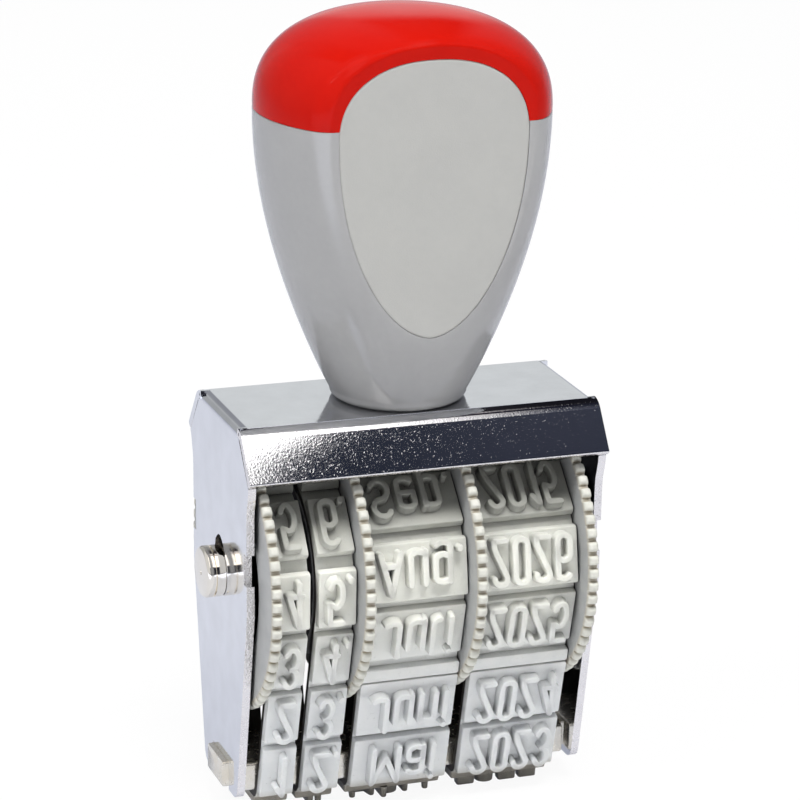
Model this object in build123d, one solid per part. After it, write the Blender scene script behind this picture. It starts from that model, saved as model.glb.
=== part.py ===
from build123d import *
import math
import os

os.makedirs("parts", exist_ok=True)

# Overall sizes in millimetres: X to the right, Y to the back, Z up
# The origin is the middle of the printing face of the type
frame_width = 37.0
frame_top_z = 41.55
sheet = 0.8
top_half_depth = 7.35
flange_out = 3.3
flange_drop = 4.53
leg_lean = 0.73
leg_half_depth = 9.2
leg_foot_half_depth = 5.75
leg_taper_z = 23.0
leg_foot_z = 2.4
bend_radius = 1.1
end_radius = 0.75
seam = 0.12
shoulder_drop = 0.6
neck_drop = 3.6
neck_height = 1.6
foot_height = 1.3
foot_corner = 1.35
stop_notch_depth = 0.9
stop_notch_height = 3.2
stop_notch_rise = 3.0
corner_relief = 0.55

# Axle and setting wheels
axle_z = 24.86
axle_radius = 2.2
axle_head_radius = 2.6
axle_head_length = 2.0
axle_stub_radius = 1.4
axle_stub_length = 1.5
axle_chamfer = 0.22
centre_mark_radius = 0.28
cap_fit = 0.02
running_fit = 0.05
hole_point_angle = 37.0
rim_radius = 14.05
tooth_depth = 0.62
tooth_count = 63
tooth_share = 0.6
rim_thickness = 1.0
drum_clearance = 0.3
drum_wall = 1.3
hub_radius = 3.8
side_gap = 0.15
washer_gap = 0.1
friction_washer_radius = 4.4

# Type bands: base strip, flat type plates and raised characters
band_base = 0.8
plate_height = 0.75
type_height = 1.0
band_inner_radius = 9.45
positions = 13
plate_length = 5.9
splice_gap = 2.6
row_shift = 1.0
letter_height = {"day_tens": 4.4, "day_units": 4.4, "month": 4.0, "year": 4.4}
letter_stretch = {"day_tens": 1.05, "day_units": 1.05, "month": 1.5, "year": 1.03}
letter_gap = {"day_tens": 0.8, "day_units": 0.8, "month": 1.05, "year": 0.93}
stroke = 0.62

# Bridge bar under the bands
bar_height = 3.0
bar_half_depth = 4.15
bar_corner = 0.5
bar_seat = 0.05
tab_half_depth = 2.7
tab_height = 2.7
tab_reach = 0.9
tab_raise = 0.1
tab_chamfer = 0.2
bar_end_gap = 0.08
slot_clearance = 0.05

# Palm handle
handle_foot_radius = 6.3
handle_split_z = 70.7
handle_top_z = 80.35
handle_radius = 14.55
dome_power = 2.45
facet_y = 9.5
facet_round = 1.6
foot_round = 0.9
peg_half_width = 6.0
peg_half_depth = 3.0
peg_length = 6.0
peg_corner = 1.5
peg_clearance = 0.05
inlay_depth = 0.8
inlay_clearance = 0.06
inlay_bottom_z = 49.9
inlay_top_z = 77.1
inlay_wide_z = 69.6
inlay_half_width = 9.55

# Screw, washer and threaded insert that hold the handle
screw_radius = 2.0
screw_top_z = 53.0
screw_head_radius = 3.2
screw_head_height = 1.0
screw_slot_width = 0.7
screw_slot_depth = 0.5
screw_washer_radius = 3.6
screw_washer_thickness = 0.5
screw_seat_gap = 0.02
screw_hole_clearance = 0.3
insert_radius = 2.9
insert_top_z = 55.0
insert_recess = 0.6

# Wheel and band places along the axle
band_left = {"day_tens": -16.0, "day_units": -11.65, "month": -6.45, "year": 5.05}
band_width = {"day_tens": 3.55, "day_units": 3.9, "month": 10.2, "year": 10.35}
rim_on_left = {"day_tens": True, "day_units": False, "month": False, "year": False}

bar_bottom_z = type_height + plate_height + band_base + bar_seat
half_width = frame_width / 2


def save(shape, name):
    shape.label = name
    export_step(shape, "parts/" + name + ".step")
    print(name, round(shape.volume, 1))


def yz_face(points):
    return make_face(Polyline(*[(0, y, z) for y, z in points], close=True).edges())


def plate_from(points, x_start, thickness):
    return extrude(Pos(x_start, 0, 0) * yz_face(points), thickness, dir=(1, 0, 0))


def rod(radius, x_start, x_end):
    lying = Rot(0, 90, 0) * Cylinder(radius, x_end - x_start)
    return Pos((x_start + x_end) / 2, 0, axle_z) * lying


# Frame: one bent sheet with a top, two sloping flanges and two legs
def flange_profile():
    slope = math.hypot(flange_out, flange_drop)
    normal = (flange_drop / slope, flange_out / slope)
    tip = (top_half_depth + flange_out, frame_top_z - flange_drop)
    bend = (top_half_depth, frame_top_z)
    inner_tip = (tip[0] - sheet * normal[0], tip[1] - sheet * normal[1])
    along = (bend[0] - tip[0], bend[1] - tip[1])
    share = (frame_top_z - sheet - inner_tip[1]) / along[1]
    inner_bend = (inner_tip[0] + share * along[0], frame_top_z - sheet)
    return tip, bend, inner_tip, inner_bend


tip, bend, inner_tip, inner_bend = flange_profile()
canopy_points = [
    (-tip[0], tip[1]),
    (-bend[0], bend[1]),
    (bend[0], bend[1]),
    tip,
    inner_tip,
    inner_bend,
    (-inner_bend[0], inner_bend[1]),
    (-inner_tip[0], inner_tip[1]),
]
canopy = plate_from(canopy_points, -half_width, frame_width)
bend_edges = canopy.edges().filter_by(Axis.X).filter_by(
    lambda e: abs(e.center().Z - frame_top_z) < 0.01
)
canopy = fillet(bend_edges, bend_radius)


def leg_outline():
    top_y = inner_bend[0] - seam
    low_y = inner_tip[0] - seam
    shoulder_z = tip[1] - shoulder_drop
    neck_z = tip[1] - neck_drop
    slot_y = tab_half_depth + slot_clearance
    right = [
        (top_y, frame_top_z - sheet),
        (low_y, inner_tip[1]),
        (low_y + seam, shoulder_z),
        (leg_half_depth + 0.18, neck_z + neck_height),
        (leg_half_depth, neck_z),
        (leg_half_depth, leg_taper_z),
        (leg_foot_half_depth, leg_foot_z + foot_height),
        (leg_foot_half_depth - foot_corner / 3, leg_foot_z + foot_height / 4),
        (leg_foot_half_depth - foot_corner, leg_foot_z),
        (slot_y + 0.5, leg_foot_z + 0.2),
        (slot_y, leg_foot_z + 0.8),
        (slot_y, tab_top_z + slot_clearance),
    ]
    left = [(-y, z) for y, z in reversed(right)]
    return right + left


tab_top_z = bar_bottom_z + tab_raise + tab_height
leg = plate_from(leg_outline(), half_width - sheet, sheet)
leg_top = Box(sheet, 2 * inner_bend[0], sheet)
leg_top = Pos(half_width - sheet / 2, 0, frame_top_z - sheet / 2) * leg_top
leg = leg + leg_top
hole_radius = axle_radius + running_fit
point_angle = math.radians(hole_point_angle)
apex = hole_radius / math.sin(point_angle)
reach = hole_radius * math.cos(point_angle)
rise = hole_radius * math.sin(point_angle)
pointed = [(reach, axle_z + rise), (0, axle_z + apex), (-reach, axle_z + rise)]
hole = rod(hole_radius, half_width - 3, half_width + 3)
hole = hole + plate_from([(0, axle_z)] + pointed, half_width - 3, 6)
notch = Box(6, 2 * stop_notch_depth, stop_notch_height)
leg = leg - hole
for side in (-1, 1):
    leg = leg - Pos(half_width, side * leg_half_depth, axle_z + stop_notch_rise) * notch
tilt = Axis((half_width, 0, frame_top_z), (0, 1, 0))
right_leg = leg.rotate(tilt, leg_lean)
left_leg = mirror(right_leg, Plane.YZ)
frame = canopy + right_leg + left_leg
envelope = Pos(0, 0, frame_top_z / 2) * Box(frame_width, 60, frame_top_z)
top_ends = envelope.edges().filter_by(Axis.Y).group_by(Axis.Z)[-1]
envelope = fillet(top_ends, end_radius)
frame = frame & envelope
frame = frame - Pos(0, 0, frame_top_z) * Cylinder(screw_radius + running_fit, 4)
for side in (-1, 1):
    for end in (-1, 1):
        spot = Pos(end * half_width, side * (top_half_depth + 0.1), frame_top_z - corner_relief)
        frame = frame - spot * Sphere(corner_relief)
save(frame, "frame")


# Axle with a formed head on the left and a pressed cap on the right
def lean_shift(z):
    return (frame_top_z - z) * math.tan(math.radians(leg_lean))


leg_face = half_width - lean_shift(axle_z) + 0.05
left_end = -leg_face - axle_head_length
axle = rod(axle_radius, -leg_face, leg_face)
head = rod(axle_head_radius, left_end, -leg_face)
head = chamfer(head.edges().group_by(Axis.X)[0], axle_chamfer)
axle = axle + head + rod(axle_stub_radius, leg_face, leg_face + axle_stub_length)
axle = axle - rod(centre_mark_radius, left_end - 1, left_end + centre_mark_radius)
save(axle, "axle")
cap = rod(axle_head_radius, leg_face + cap_fit, leg_face + axle_head_length)
cap = chamfer(cap.edges().group_by(Axis.X)[-1], axle_chamfer)
cap = cap - rod(axle_stub_radius + cap_fit, leg_face - 1, leg_face + axle_stub_length + 0.1)
save(cap, "axle_cap")


# Setting wheels: hub, drum under the band and a toothed thumb rim
def rim_outline():
    points = []
    step = 2 * math.pi / tooth_count
    half = tooth_share * step / 2
    low = rim_radius - tooth_depth
    for k in range(tooth_count):
        middle = k * step
        corners = (
            (low, -half - 0.12 * step),
            (rim_radius - 0.1, -half),
            (rim_radius, -half + 0.12 * step),
            (rim_radius, half - 0.12 * step),
            (rim_radius - 0.1, half),
            (low, half + 0.12 * step),
        )
        for radius, angle in corners:
            turn = middle + angle
            y = radius * math.cos(turn)
            z = axle_z + radius * math.sin(turn)
            points.append((y, z))
    return points


drum_radius = band_inner_radius - drum_clearance
bore = axle_radius + running_fit
for key in band_left:
    start = band_left[key]
    end = start + band_width[key]
    if rim_on_left[key]:
        rim_start = start - side_gap - rim_thickness
        drum_start = rim_start
        drum_end = end
        web_x = rim_start
    else:
        rim_start = end + washer_gap
        drum_start = start
        drum_end = rim_start + rim_thickness
        web_x = rim_start
    wheel = plate_from(rim_outline(), rim_start, rim_thickness)
    wheel = wheel + rod(drum_radius, drum_start, drum_end)
    hollow = rod(drum_radius - drum_wall, drum_start - 1, drum_end + 1)
    hollow = hollow - rod(hub_radius, drum_start - 1, drum_end + 1)
    hollow = hollow - rod(drum_radius, web_x, web_x + rim_thickness)
    wheel = wheel - hollow - rod(bore, drum_start - 2, drum_end + 2)
    save(wheel, key + "_wheel")

# Washers on the axle
spacer_start = band_left["day_tens"] + band_width["day_tens"] + washer_gap
spacer_end = band_left["day_units"] - washer_gap
spacer = rod(hub_radius, spacer_start, spacer_end) - rod(bore, -half_width, half_width)
save(spacer, "spacer_washer")
year_end = band_left["year"] + band_width["year"] + washer_gap + rim_thickness
inner_face = half_width - sheet - lean_shift(axle_z)
friction = rod(friction_washer_radius, year_end + washer_gap, inner_face - washer_gap)
friction = friction - rod(bore, -half_width, half_width)
save(friction, "friction_washer")

# Bridge bar with a tab at each end
bar_end = half_width - sheet - lean_shift(bar_bottom_z) - bar_end_gap
bar = Box(2 * bar_end, 2 * bar_half_depth, bar_height)
bar = Pos(0, 0, bar_bottom_z + bar_height / 2) * bar
bar_edges = bar.edges().filter_by(Axis.X).group_by(Axis.Z)[0]
bar = fillet(bar_edges, bar_corner)
tab_length = 2 * (half_width - lean_shift(bar_bottom_z) + tab_reach)
tab = Box(tab_length, 2 * tab_half_depth, tab_height)
tab = chamfer(tab.edges().filter_by(Axis.Y), tab_chamfer)
bar = bar + Pos(0, 0, bar_bottom_z + tab_raise + tab_height / 2) * tab
save(bar, "bridge_bar")

# Band path: a wheel arc, two straight runs and two corners of the bar
corner_y = bar_half_depth - bar_corner
corner_z = bar_bottom_z + bar_corner
corner_radius = bar_corner + bar_seat
centre_gap = math.hypot(corner_y, axle_z - corner_z)
lean_line = math.atan2(axle_z - corner_z, -corner_y)
swing = math.asin((band_inner_radius - corner_radius) / centre_gap)
run_angle = lean_line - swing
run_normal = run_angle - math.pi / 2
run_length = centre_gap * math.cos(swing)
neutral = band_base / 2
bottom_length = 2 * corner_y
corner_length = (corner_radius + neutral) * (run_normal + math.pi / 2)
arc_length = (band_inner_radius + neutral) * (math.pi - 2 * run_normal)
loop_length = bottom_length + 2 * corner_length + 2 * run_length + arc_length


def band_point(distance):
    """Point on the neutral line and its outward normal, starting below the bar."""
    s = distance % loop_length
    if s > loop_length / 2:
        y, z, angle = band_point(loop_length - s)
        return -y, z, math.pi - angle
    if s < bottom_length / 2:
        return -s, corner_z - corner_radius - neutral, -math.pi / 2
    s = s - bottom_length / 2
    if s < corner_length:
        turn = s / (corner_radius + neutral)
        angle = -math.pi / 2 - turn
        y = -corner_y + (corner_radius + neutral) * math.cos(angle)
        z = corner_z + (corner_radius + neutral) * math.sin(angle)
        return y, z, angle
    s = s - corner_length
    front_normal = math.pi - run_normal
    if s < run_length:
        y = -corner_y + (corner_radius + neutral) * math.cos(front_normal)
        z = corner_z + (corner_radius + neutral) * math.sin(front_normal)
        y = y - s * math.cos(run_angle)
        z = z + s * math.sin(run_angle)
        return y, z, front_normal
    s = s - run_length
    angle = front_normal - s / (band_inner_radius + neutral)
    y = (band_inner_radius + neutral) * math.cos(angle)
    z = axle_z + (band_inner_radius + neutral) * math.sin(angle)
    return y, z, angle


def strip_loop(offset):
    """Closed outline of the band at a distance outside its inner face."""
    front = math.pi - run_normal
    low_radius = corner_radius + offset
    high_radius = band_inner_radius + offset

    def at(cy, cz, radius, angle):
        return (cy + radius * math.cos(angle), cz + radius * math.sin(angle))

    low_left = at(-corner_y, corner_z, low_radius, -math.pi / 2)
    mid_left = at(-corner_y, corner_z, low_radius, (front - math.pi * 2 - math.pi / 2) / 2)
    up_left = at(-corner_y, corner_z, low_radius, front)
    top_left = at(0, axle_z, high_radius, front)
    top = at(0, axle_z, high_radius, math.pi / 2)
    top_right = (-top_left[0], top_left[1])
    up_right = (-up_left[0], up_left[1])
    mid_right = (-mid_left[0], mid_left[1])
    low_right = (-low_left[0], low_left[1])
    parts = [
        Line(low_right, low_left),
        ThreePointArc(low_left, mid_left, up_left),
        Line(up_left, top_left),
        ThreePointArc(top_left, top, top_right),
        Line(top_right, up_right),
        ThreePointArc(up_right, mid_right, low_right),
    ]
    return make_face(Curve(parts).edges())


# Stroke lettering: each glyph is a width and its centre lines, in units of the height
def arc_points(cx, cy, rx, ry, start, end, steps=8):
    points = []
    for k in range(steps + 1):
        turn = math.radians(start + (end - start) * k / steps)
        points.append((cx + rx * math.cos(turn), cy + ry * math.sin(turn)))
    return points


def oval(width, low, high, left=0.0):
    r = width / 2
    upper = arc_points(left + r, high - r, r, r, 0, 180)
    lower = arc_points(left + r, low + r, r, r, 180, 360)
    return upper + lower + [upper[0]]


def bowl(width, top, start, end):
    """A round stroke as wide as the glyph, with its highest point at this level."""
    r = width / 2
    return arc_points(r, top - r, r, r, start, end)


digit = 0.29
x_top = 0.8
small = 0.25
glyphs = {
    "0": (digit, [oval(digit, 0, 1)]),
    "1": (0.13, [[(0.13, 0), (0.13, 1)], [(0.13, 1), (0, 0.8)]]),
    "2": (digit, [bowl(digit, 1, 180, -35) + [(0, 0)], [(0, 0), (digit, 0)]]),
    "3": (
        digit,
        [
            arc_points(digit / 2, 0.765, digit / 2, 0.235, 150, -90, 8),
            arc_points(digit / 2, 0.265, digit / 2, 0.265, 90, -150, 8),
        ],
    ),
    "4": (
        digit,
        [
            [(digit * 0.75, 0), (digit * 0.75, 1)],
            [(digit * 0.75, 1), (0, 0.27)],
            [(0, 0.27), (digit, 0.27)],
        ],
    ),
    "5": (
        digit,
        [
            [(digit, 1), (0.02, 1)],
            [(0.02, 1), (0, 0.55)],
            [(0, 0.55)] + arc_points(digit / 2, 0.31, digit / 2, 0.31, 120, -150, 9),
        ],
    ),
    "6": (digit, [oval(digit, 0, 0.58), bowl(digit, 1, 35, 180) + [(0, 0.3)]]),
    "7": (digit, [[(0, 1), (digit, 1)], [(digit, 1), (digit * 0.3, 0)]]),
    "8": (digit, [oval(digit, 0, 0.54), oval(digit * 0.9, 0.54, 1, digit * 0.05)]),
    "9": (digit, [oval(digit, 0.42, 1), bowl(digit, digit, 215, 360) + [(digit, 0.7)]]),
    ".": (0.02, [[(0.01, 0), (0.01, 0.03)]]),
    "A": (0.34, [[(0, 0), (0.17, 1)], [(0.17, 1), (0.34, 0)], [(0.06, 0.3), (0.28, 0.3)]]),
    "D": (
        digit,
        [
            [(0, 0), (0, 1)],
            [(0, 1)]
            + arc_points(0.12, 0.8, 0.17, 0.2, 90, 0, 5)
            + arc_points(0.12, 0.2, 0.17, 0.2, 0, -90, 5)
            + [(0, 0)],
        ],
    ),
    "F": (0.25, [[(0, 0), (0, 1)], [(0, 1), (0.25, 1)], [(0, 0.53), (0.2, 0.53)]]),
    "J": (0.24, [[(0.24, 1)] + arc_points(0.12, 0.12, 0.12, 0.12, 0, -150, 7)]),
    "M": (
        0.44,
        [
            [(0, 0), (0, 1)],
            [(0, 1), (0.22, 0.25)],
            [(0.22, 0.25), (0.44, 1)],
            [(0.44, 1), (0.44, 0)],
        ],
    ),
    "N": (0.31, [[(0, 0), (0, 1)], [(0, 1), (0.31, 0)], [(0.31, 0), (0.31, 1)]]),
    "O": (digit, [oval(digit, 0, 1)]),
    "S": (
        digit,
        [
            arc_points(digit / 2, 0.76, digit / 2, 0.24, 30, 270, 9)
            + arc_points(digit / 2, 0.26, digit / 2, 0.26, 80, -150, 9)
        ],
    ),
    "a": (small, [bowl(small, x_top, 160, 0) + [(small, 0)], oval(small, 0, 0.4)]),
    "b": (small, [[(0, 0), (0, 1)], oval(small, 0, x_top)]),
    "e": (
        small,
        [
            [(0, 0.4), (small, 0.4)],
            [(small, 0.4)] + bowl(small, x_top, 0, 180) + bowl(small, small, 180, 335),
        ],
    ),
    "g": (small, [oval(small, 0.12, x_top), [(small, x_top)] + bowl(small, 0.07, 0, -150)]),
    "i": (0.02, [[(0.01, 0), (0.01, x_top - 0.06)], [(0.01, 0.99), (0.01, 1)]]),
    "k": (small, [[(0, 0), (0, 1)], [(small, x_top), (0, 0.32)], [(0.07, 0.45), (small, 0)]]),
    "l": (0.12, [[(0, 1)] + arc_points(0.12, 0.12, 0.12, 0.12, 180, 260, 4)]),
    "n": (small, [[(0, 0), (0, x_top)], [(0, 0.5)] + bowl(small, x_top, 170, 0) + [(small, 0)]]),
    "o": (small, [oval(small, 0, x_top)]),
    "p": (small, [[(0, x_top), (0, -0.2)], oval(small, 0, x_top)]),
    "r": (0.18, [[(0, 0), (0, x_top)], bowl(0.26, x_top, 150, 50)]),
    "t": (0.16, [[(0.06, 0.95), (0.06, 0.06), (0.15, 0.0)], [(0, x_top), (0.16, x_top)]]),
    "u": (small, [[(0, x_top)] + bowl(small, small, 180, 350), [(small, x_top), (small, 0)]]),
    "v": (0.27, [[(0, x_top), (0.135, 0)], [(0.135, 0), (0.27, x_top)]]),
    "z": (0.22, [[(0, x_top), (0.22, x_top)], [(0.22, x_top), (0, 0)], [(0, 0), (0.22, 0)]]),
}


def stroke_outlines(points, half):
    """Outer outline of one stroke, and the inner one where the stroke is closed."""
    closed = math.dist(points[0], points[-1]) < 1e-6
    line = points[:-1] if closed else points
    line = [p for k, p in enumerate(line) if k == 0 or math.dist(p, line[k - 1]) > 1e-4]
    count = len(line)

    def direction(k):
        if closed:
            a, b = line[(k - 1) % count], line[(k + 1) % count]
        else:
            a, b = line[max(k - 1, 0)], line[min(k + 1, count - 1)]
        size = math.dist(a, b)
        return ((b[0] - a[0]) / size, (b[1] - a[1]) / size)

    def shifted(k, side):
        d = direction(k)
        return (line[k][0] - side * half * d[1], line[k][1] + side * half * d[0])

    if closed:
        left = [shifted(k, 1) for k in range(count)]
        right = [shifted(k, -1) for k in range(count)]
        loops = sorted((left, right), key=lambda loop: max(x for x, y in loop))
        return loops[1], loops[0]
    outline = [shifted(k, 1) for k in range(count)]
    d = direction(count - 1)
    base = math.atan2(d[1], d[0])
    for step in (1, 2, 3):
        turn = base + math.pi / 2 - step * math.pi / 4
        end = line[-1]
        outline.append((end[0] + half * math.cos(turn), end[1] + half * math.sin(turn)))
    outline += [shifted(k, -1) for k in range(count - 1, -1, -1)]
    d = direction(0)
    base = math.atan2(d[1], d[0])
    for step in (1, 2, 3):
        turn = base - math.pi / 2 - step * math.pi / 4
        end = line[0]
        outline.append((end[0] + half * math.cos(turn), end[1] + half * math.sin(turn)))
    return outline, None


def flat_face(points):
    return make_face(Polyline(*points, close=True).edges())


letter_cache = {}


def letter_solids(char, height, stretch):
    """The strokes of one raised character on the local XY plane, top to bottom mirrored."""
    if (char, height) not in letter_cache:
        width, strokes = glyphs[char]
        solids = []
        for points in strokes:
            scaled = [(x * height * stretch, (0.5 - y) * height) for x, y in points]
            outer, inner = stroke_outlines(scaled, stroke / 2)
            outline = flat_face(outer)
            if inner:
                outline = outline - flat_face(inner)
            for face in outline.faces():
                low = Pos(0, 0, -0.1) * face
                solids += extrude(low, type_height + 0.1, dir=(0, 0, 1)).solids()
        letter_cache[(char, height)] = solids
    return letter_cache[(char, height)]


def lettering(text, key, middle_x, y, z, angle):
    """The raised characters of one row, on a plate whose face has this outward normal."""
    height = letter_height[key]
    stretch = letter_stretch[key]
    gap = letter_gap[key]
    outward = (0, math.cos(angle), math.sin(angle))
    place = Plane(origin=(0, y, z), x_dir=(1, 0, 0), z_dir=outward).location
    widths = [glyphs[char][0] * height * stretch for char in text]
    x = middle_x - (sum(widths) + gap * (len(text) - 1)) / 2
    solids = []
    for char, width in zip(text, widths):
        spot = place * Pos(x, 0, 0)
        solids += [spot * solid for solid in letter_solids(char, height, stretch)]
        x = x + width + gap
    return solids


tens_rows = ["0", "1", "2", "3", "4", "5", "6", "7", "8", "9", "", "", ""]
unit_rows = ["1.", "2.", "3.", "4.", "5.", "6.", "7.", "8.", "9.", "0.", "", "", ""]
month_rows = ["Apr.", "Mai", "Juni", "Juli", "Aug.", "Sep.", "Okt.", "Nov.", "Dez."]
month_rows = month_rows + ["Jan.", "Feb.", "Mrz.", ""]
year_rows = [str(2022 + k) for k in range(5)] + [str(2015 + k) for k in range(7)] + [""]
rows = {"day_tens": tens_rows, "day_units": unit_rows, "month": month_rows, "year": year_rows}
splice_after = 2

for key in band_left:
    middle_x = band_left[key] + band_width[key] / 2
    has_splice = key in ("month", "year")
    pitch = (loop_length - (splice_gap if has_splice else 0)) / positions
    profile = strip_loop(band_base) - strip_loop(0)
    blocks = []
    places = []
    for k in range(positions):
        s = k * pitch + row_shift
        if has_splice and k > splice_after:
            s = s + splice_gap
        y, z, angle = band_point(s)
        block_depth = plate_height + 0.5
        reach_out = neutral + plate_height - block_depth / 2
        flat = Rectangle(block_depth, plate_length)
        spot = Pos(y + reach_out * math.cos(angle), z + reach_out * math.sin(angle))
        blocks.append(spot * Rot(0, 0, math.degrees(angle)) * flat)
        face_y = y + (neutral + plate_height) * math.cos(angle)
        face_z = z + (neutral + plate_height) * math.sin(angle)
        places.append((face_y, face_z, angle))
    if has_splice:
        s = (splice_after + 1) * pitch - pitch / 2 + splice_gap / 2
        y, z, angle = band_point(s)
        reach_out = neutral + 0.1
        spot = Pos(y + reach_out * math.cos(angle), z + reach_out * math.sin(angle))
        blocks.append(spot * Rot(0, 0, math.degrees(angle)) * Rectangle(0.7, 1.3))
    for block in blocks:
        profile = profile + block
    upright = Plane(origin=(band_left[key], 0, 0), x_dir=(0, 1, 0), z_dir=(1, 0, 0)).location
    band = extrude(upright * profile, band_width[key], dir=(1, 0, 0))
    letters = []
    for k in range(positions):
        if rows[key][k]:
            letters += lettering(rows[key][k], key, middle_x, *places[k])
    band = band.fuse(*letters)
    save(band, key + "_band")


# Palm handle: a turned body with two flat facets
def handle_radius_at(z):
    if z <= handle_split_z:
        share = (z - frame_top_z) / (handle_split_z - frame_top_z)
        swell = math.sin(share * math.pi / 2) ** 0.9
        return handle_foot_radius + (handle_radius - handle_foot_radius) * swell
    share = (z - handle_split_z) / (handle_top_z - handle_split_z)
    return handle_radius * max(0.0, 1 - share**dome_power) ** (1 / dome_power)


def turned_profile(z_low):
    low = frame_top_z + z_low
    steps = 10
    body = []
    for k in range(steps + 1):
        z = low + (handle_split_z - low) * k / steps
        body.append((handle_radius_at(z), z))
    dome = []
    height = handle_top_z - handle_split_z
    for k in range(steps + 1):
        turn = math.pi / 2 * k / steps
        x = handle_radius * abs(math.cos(turn)) ** (2 / dome_power)
        z = handle_split_z + height * math.sin(turn) ** (2 / dome_power)
        dome.append((0 if k == steps else x, z))
    return body, dome


def turned(z_low):
    body, dome = turned_profile(z_low)
    points = [(x, 0, z) for x, z in body + dome[1:]]
    side = Spline(*points, tangents=[(0.5, 0, 1), (-1, 0, 0)])
    axis_line = Line(points[-1], (0, 0, points[0][2]))
    base_line = Line((0, 0, points[0][2]), points[0])
    face = make_face([base_line.edge(), side.edge(), axis_line.edge()])
    return revolve(face, Axis.Z, 360)


solid_handle = turned(0.02)
slab = Pos(0, 0, 60) * Box(60, 2 * facet_y, 60)
solid_handle = solid_handle & slab
facet_edges = solid_handle.edges().filter_by(
    lambda e: abs(abs(e.center().Y) - facet_y) < 0.05
)
solid_handle = fillet(facet_edges, facet_round)
foot_edges = solid_handle.edges().group_by(Axis.Z)[0]
solid_handle = fillet(foot_edges, foot_round)


def inlay_solid(grow, depth):
    reach_up = inlay_top_z - inlay_wide_z + grow
    reach_down = inlay_wide_z - inlay_bottom_z + grow
    half = inlay_half_width + grow
    points = []
    for k in range(17):
        turn = math.pi * k / 16
        shape = abs(math.sin(turn)) ** (2 / 2.3)
        side = math.copysign(abs(math.cos(turn)) ** (2 / 2.3), math.cos(turn))
        points.append((half * side, inlay_wide_z + reach_up * shape))
    lower = []
    for k in range(1, 16):
        turn = math.pi * k / 16
        shape = math.sin(turn)
        side = math.copysign(abs(math.cos(turn)) ** 1.12, math.cos(turn))
        lower.append((-half * side, inlay_wide_z - reach_down * shape))
    outline = [Spline(*points), Spline(points[-1], *lower, points[0])]
    face = make_face(Curve([part for part in outline]).edges())
    upright = Plane(origin=(0, 0, 0), x_dir=(1, 0, 0), z_dir=(0, -1, 0)).location
    return extrude(upright * face, depth, dir=(0, -1, 0))


recess = Pos(0, -(facet_y - inlay_depth), 0) * inlay_solid(inlay_clearance, 5)
solid_handle = solid_handle - recess - mirror(recess, Plane.XZ)
inlay = Pos(0, -(facet_y - inlay_depth) - 0.02, 0) * inlay_solid(0, inlay_depth - 0.02)
save(inlay, "front_inlay")
save(mirror(inlay, Plane.XZ), "rear_inlay")

above = Pos(0, 0, handle_split_z + 20) * Box(60, 60, 40)
below = Pos(0, 0, handle_split_z - 20) * Box(60, 60, 40)


def peg_shape(grow):
    shape = Box(2 * (peg_half_width + grow), 2 * (peg_half_depth + grow), peg_length + grow)
    shape = fillet(shape.edges().filter_by(Axis.Z), peg_corner)
    return Pos(0, 0, handle_split_z - (peg_length + grow) / 2) * shape


cap_solid = (solid_handle & above) + peg_shape(0)
body_solid = (solid_handle & below) - peg_shape(peg_clearance)
insert_base = frame_top_z + insert_recess
insert_height = insert_top_z - insert_base
insert_middle = Pos(0, 0, insert_base + insert_height / 2)
insert_hole = insert_middle * Cylinder(insert_radius + cap_fit, insert_height + 2 * cap_fit)
screw_hole_radius = screw_radius + screw_hole_clearance
screw_hole = Pos(0, 0, frame_top_z) * Cylinder(screw_hole_radius, 2 * (insert_top_z - frame_top_z))
body_solid = body_solid - insert_hole - screw_hole
save(body_solid, "handle_body")
save(cap_solid, "handle_cap")

# Screw from below through the top of the frame into the handle
insert = insert_middle * Cylinder(insert_radius, insert_height)
insert = insert - insert_middle * Cylinder(screw_radius + cap_fit, 2 * insert_height)
save(insert, "threaded_insert")
washer_top = frame_top_z - sheet - screw_seat_gap
washer_bottom = washer_top - screw_washer_thickness
washer = Cylinder(screw_washer_radius, screw_washer_thickness)
washer = washer - Cylinder(screw_radius + washer_gap, 2 * screw_washer_thickness)
save(Pos(0, 0, (washer_top + washer_bottom) / 2) * washer, "screw_washer")
head_top = washer_bottom - screw_seat_gap
head_bottom = head_top - screw_head_height
shank = Cylinder(screw_radius, screw_top_z - head_top)
screw = Pos(0, 0, (screw_top_z + head_top) / 2) * shank
head = Cylinder(screw_head_radius, screw_head_height)
screw = screw + Pos(0, 0, head_bottom + screw_head_height / 2) * head
slot = Box(2 * screw_head_radius, screw_slot_width, 2 * screw_slot_depth)
save(screw - Pos(0, 0, head_bottom) * slot, "handle_screw")
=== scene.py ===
import math

import bmesh
import bpy
from mathutils import Matrix, Vector


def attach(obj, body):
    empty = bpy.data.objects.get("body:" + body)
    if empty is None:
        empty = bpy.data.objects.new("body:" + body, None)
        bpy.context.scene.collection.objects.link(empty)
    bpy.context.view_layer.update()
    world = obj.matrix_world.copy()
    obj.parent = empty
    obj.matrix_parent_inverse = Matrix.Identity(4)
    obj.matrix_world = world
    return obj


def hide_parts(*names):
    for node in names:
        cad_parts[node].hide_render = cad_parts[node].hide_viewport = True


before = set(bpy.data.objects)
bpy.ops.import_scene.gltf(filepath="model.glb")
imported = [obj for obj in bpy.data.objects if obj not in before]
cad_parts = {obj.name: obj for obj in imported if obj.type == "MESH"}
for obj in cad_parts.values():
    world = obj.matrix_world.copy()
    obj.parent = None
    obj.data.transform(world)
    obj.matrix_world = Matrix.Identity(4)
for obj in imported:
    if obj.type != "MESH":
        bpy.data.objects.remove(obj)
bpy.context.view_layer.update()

# Every size below is in millimetres, in the frame of the construction; Blender works in metres
MM = 0.001
FIXED = "stamp_body"

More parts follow.
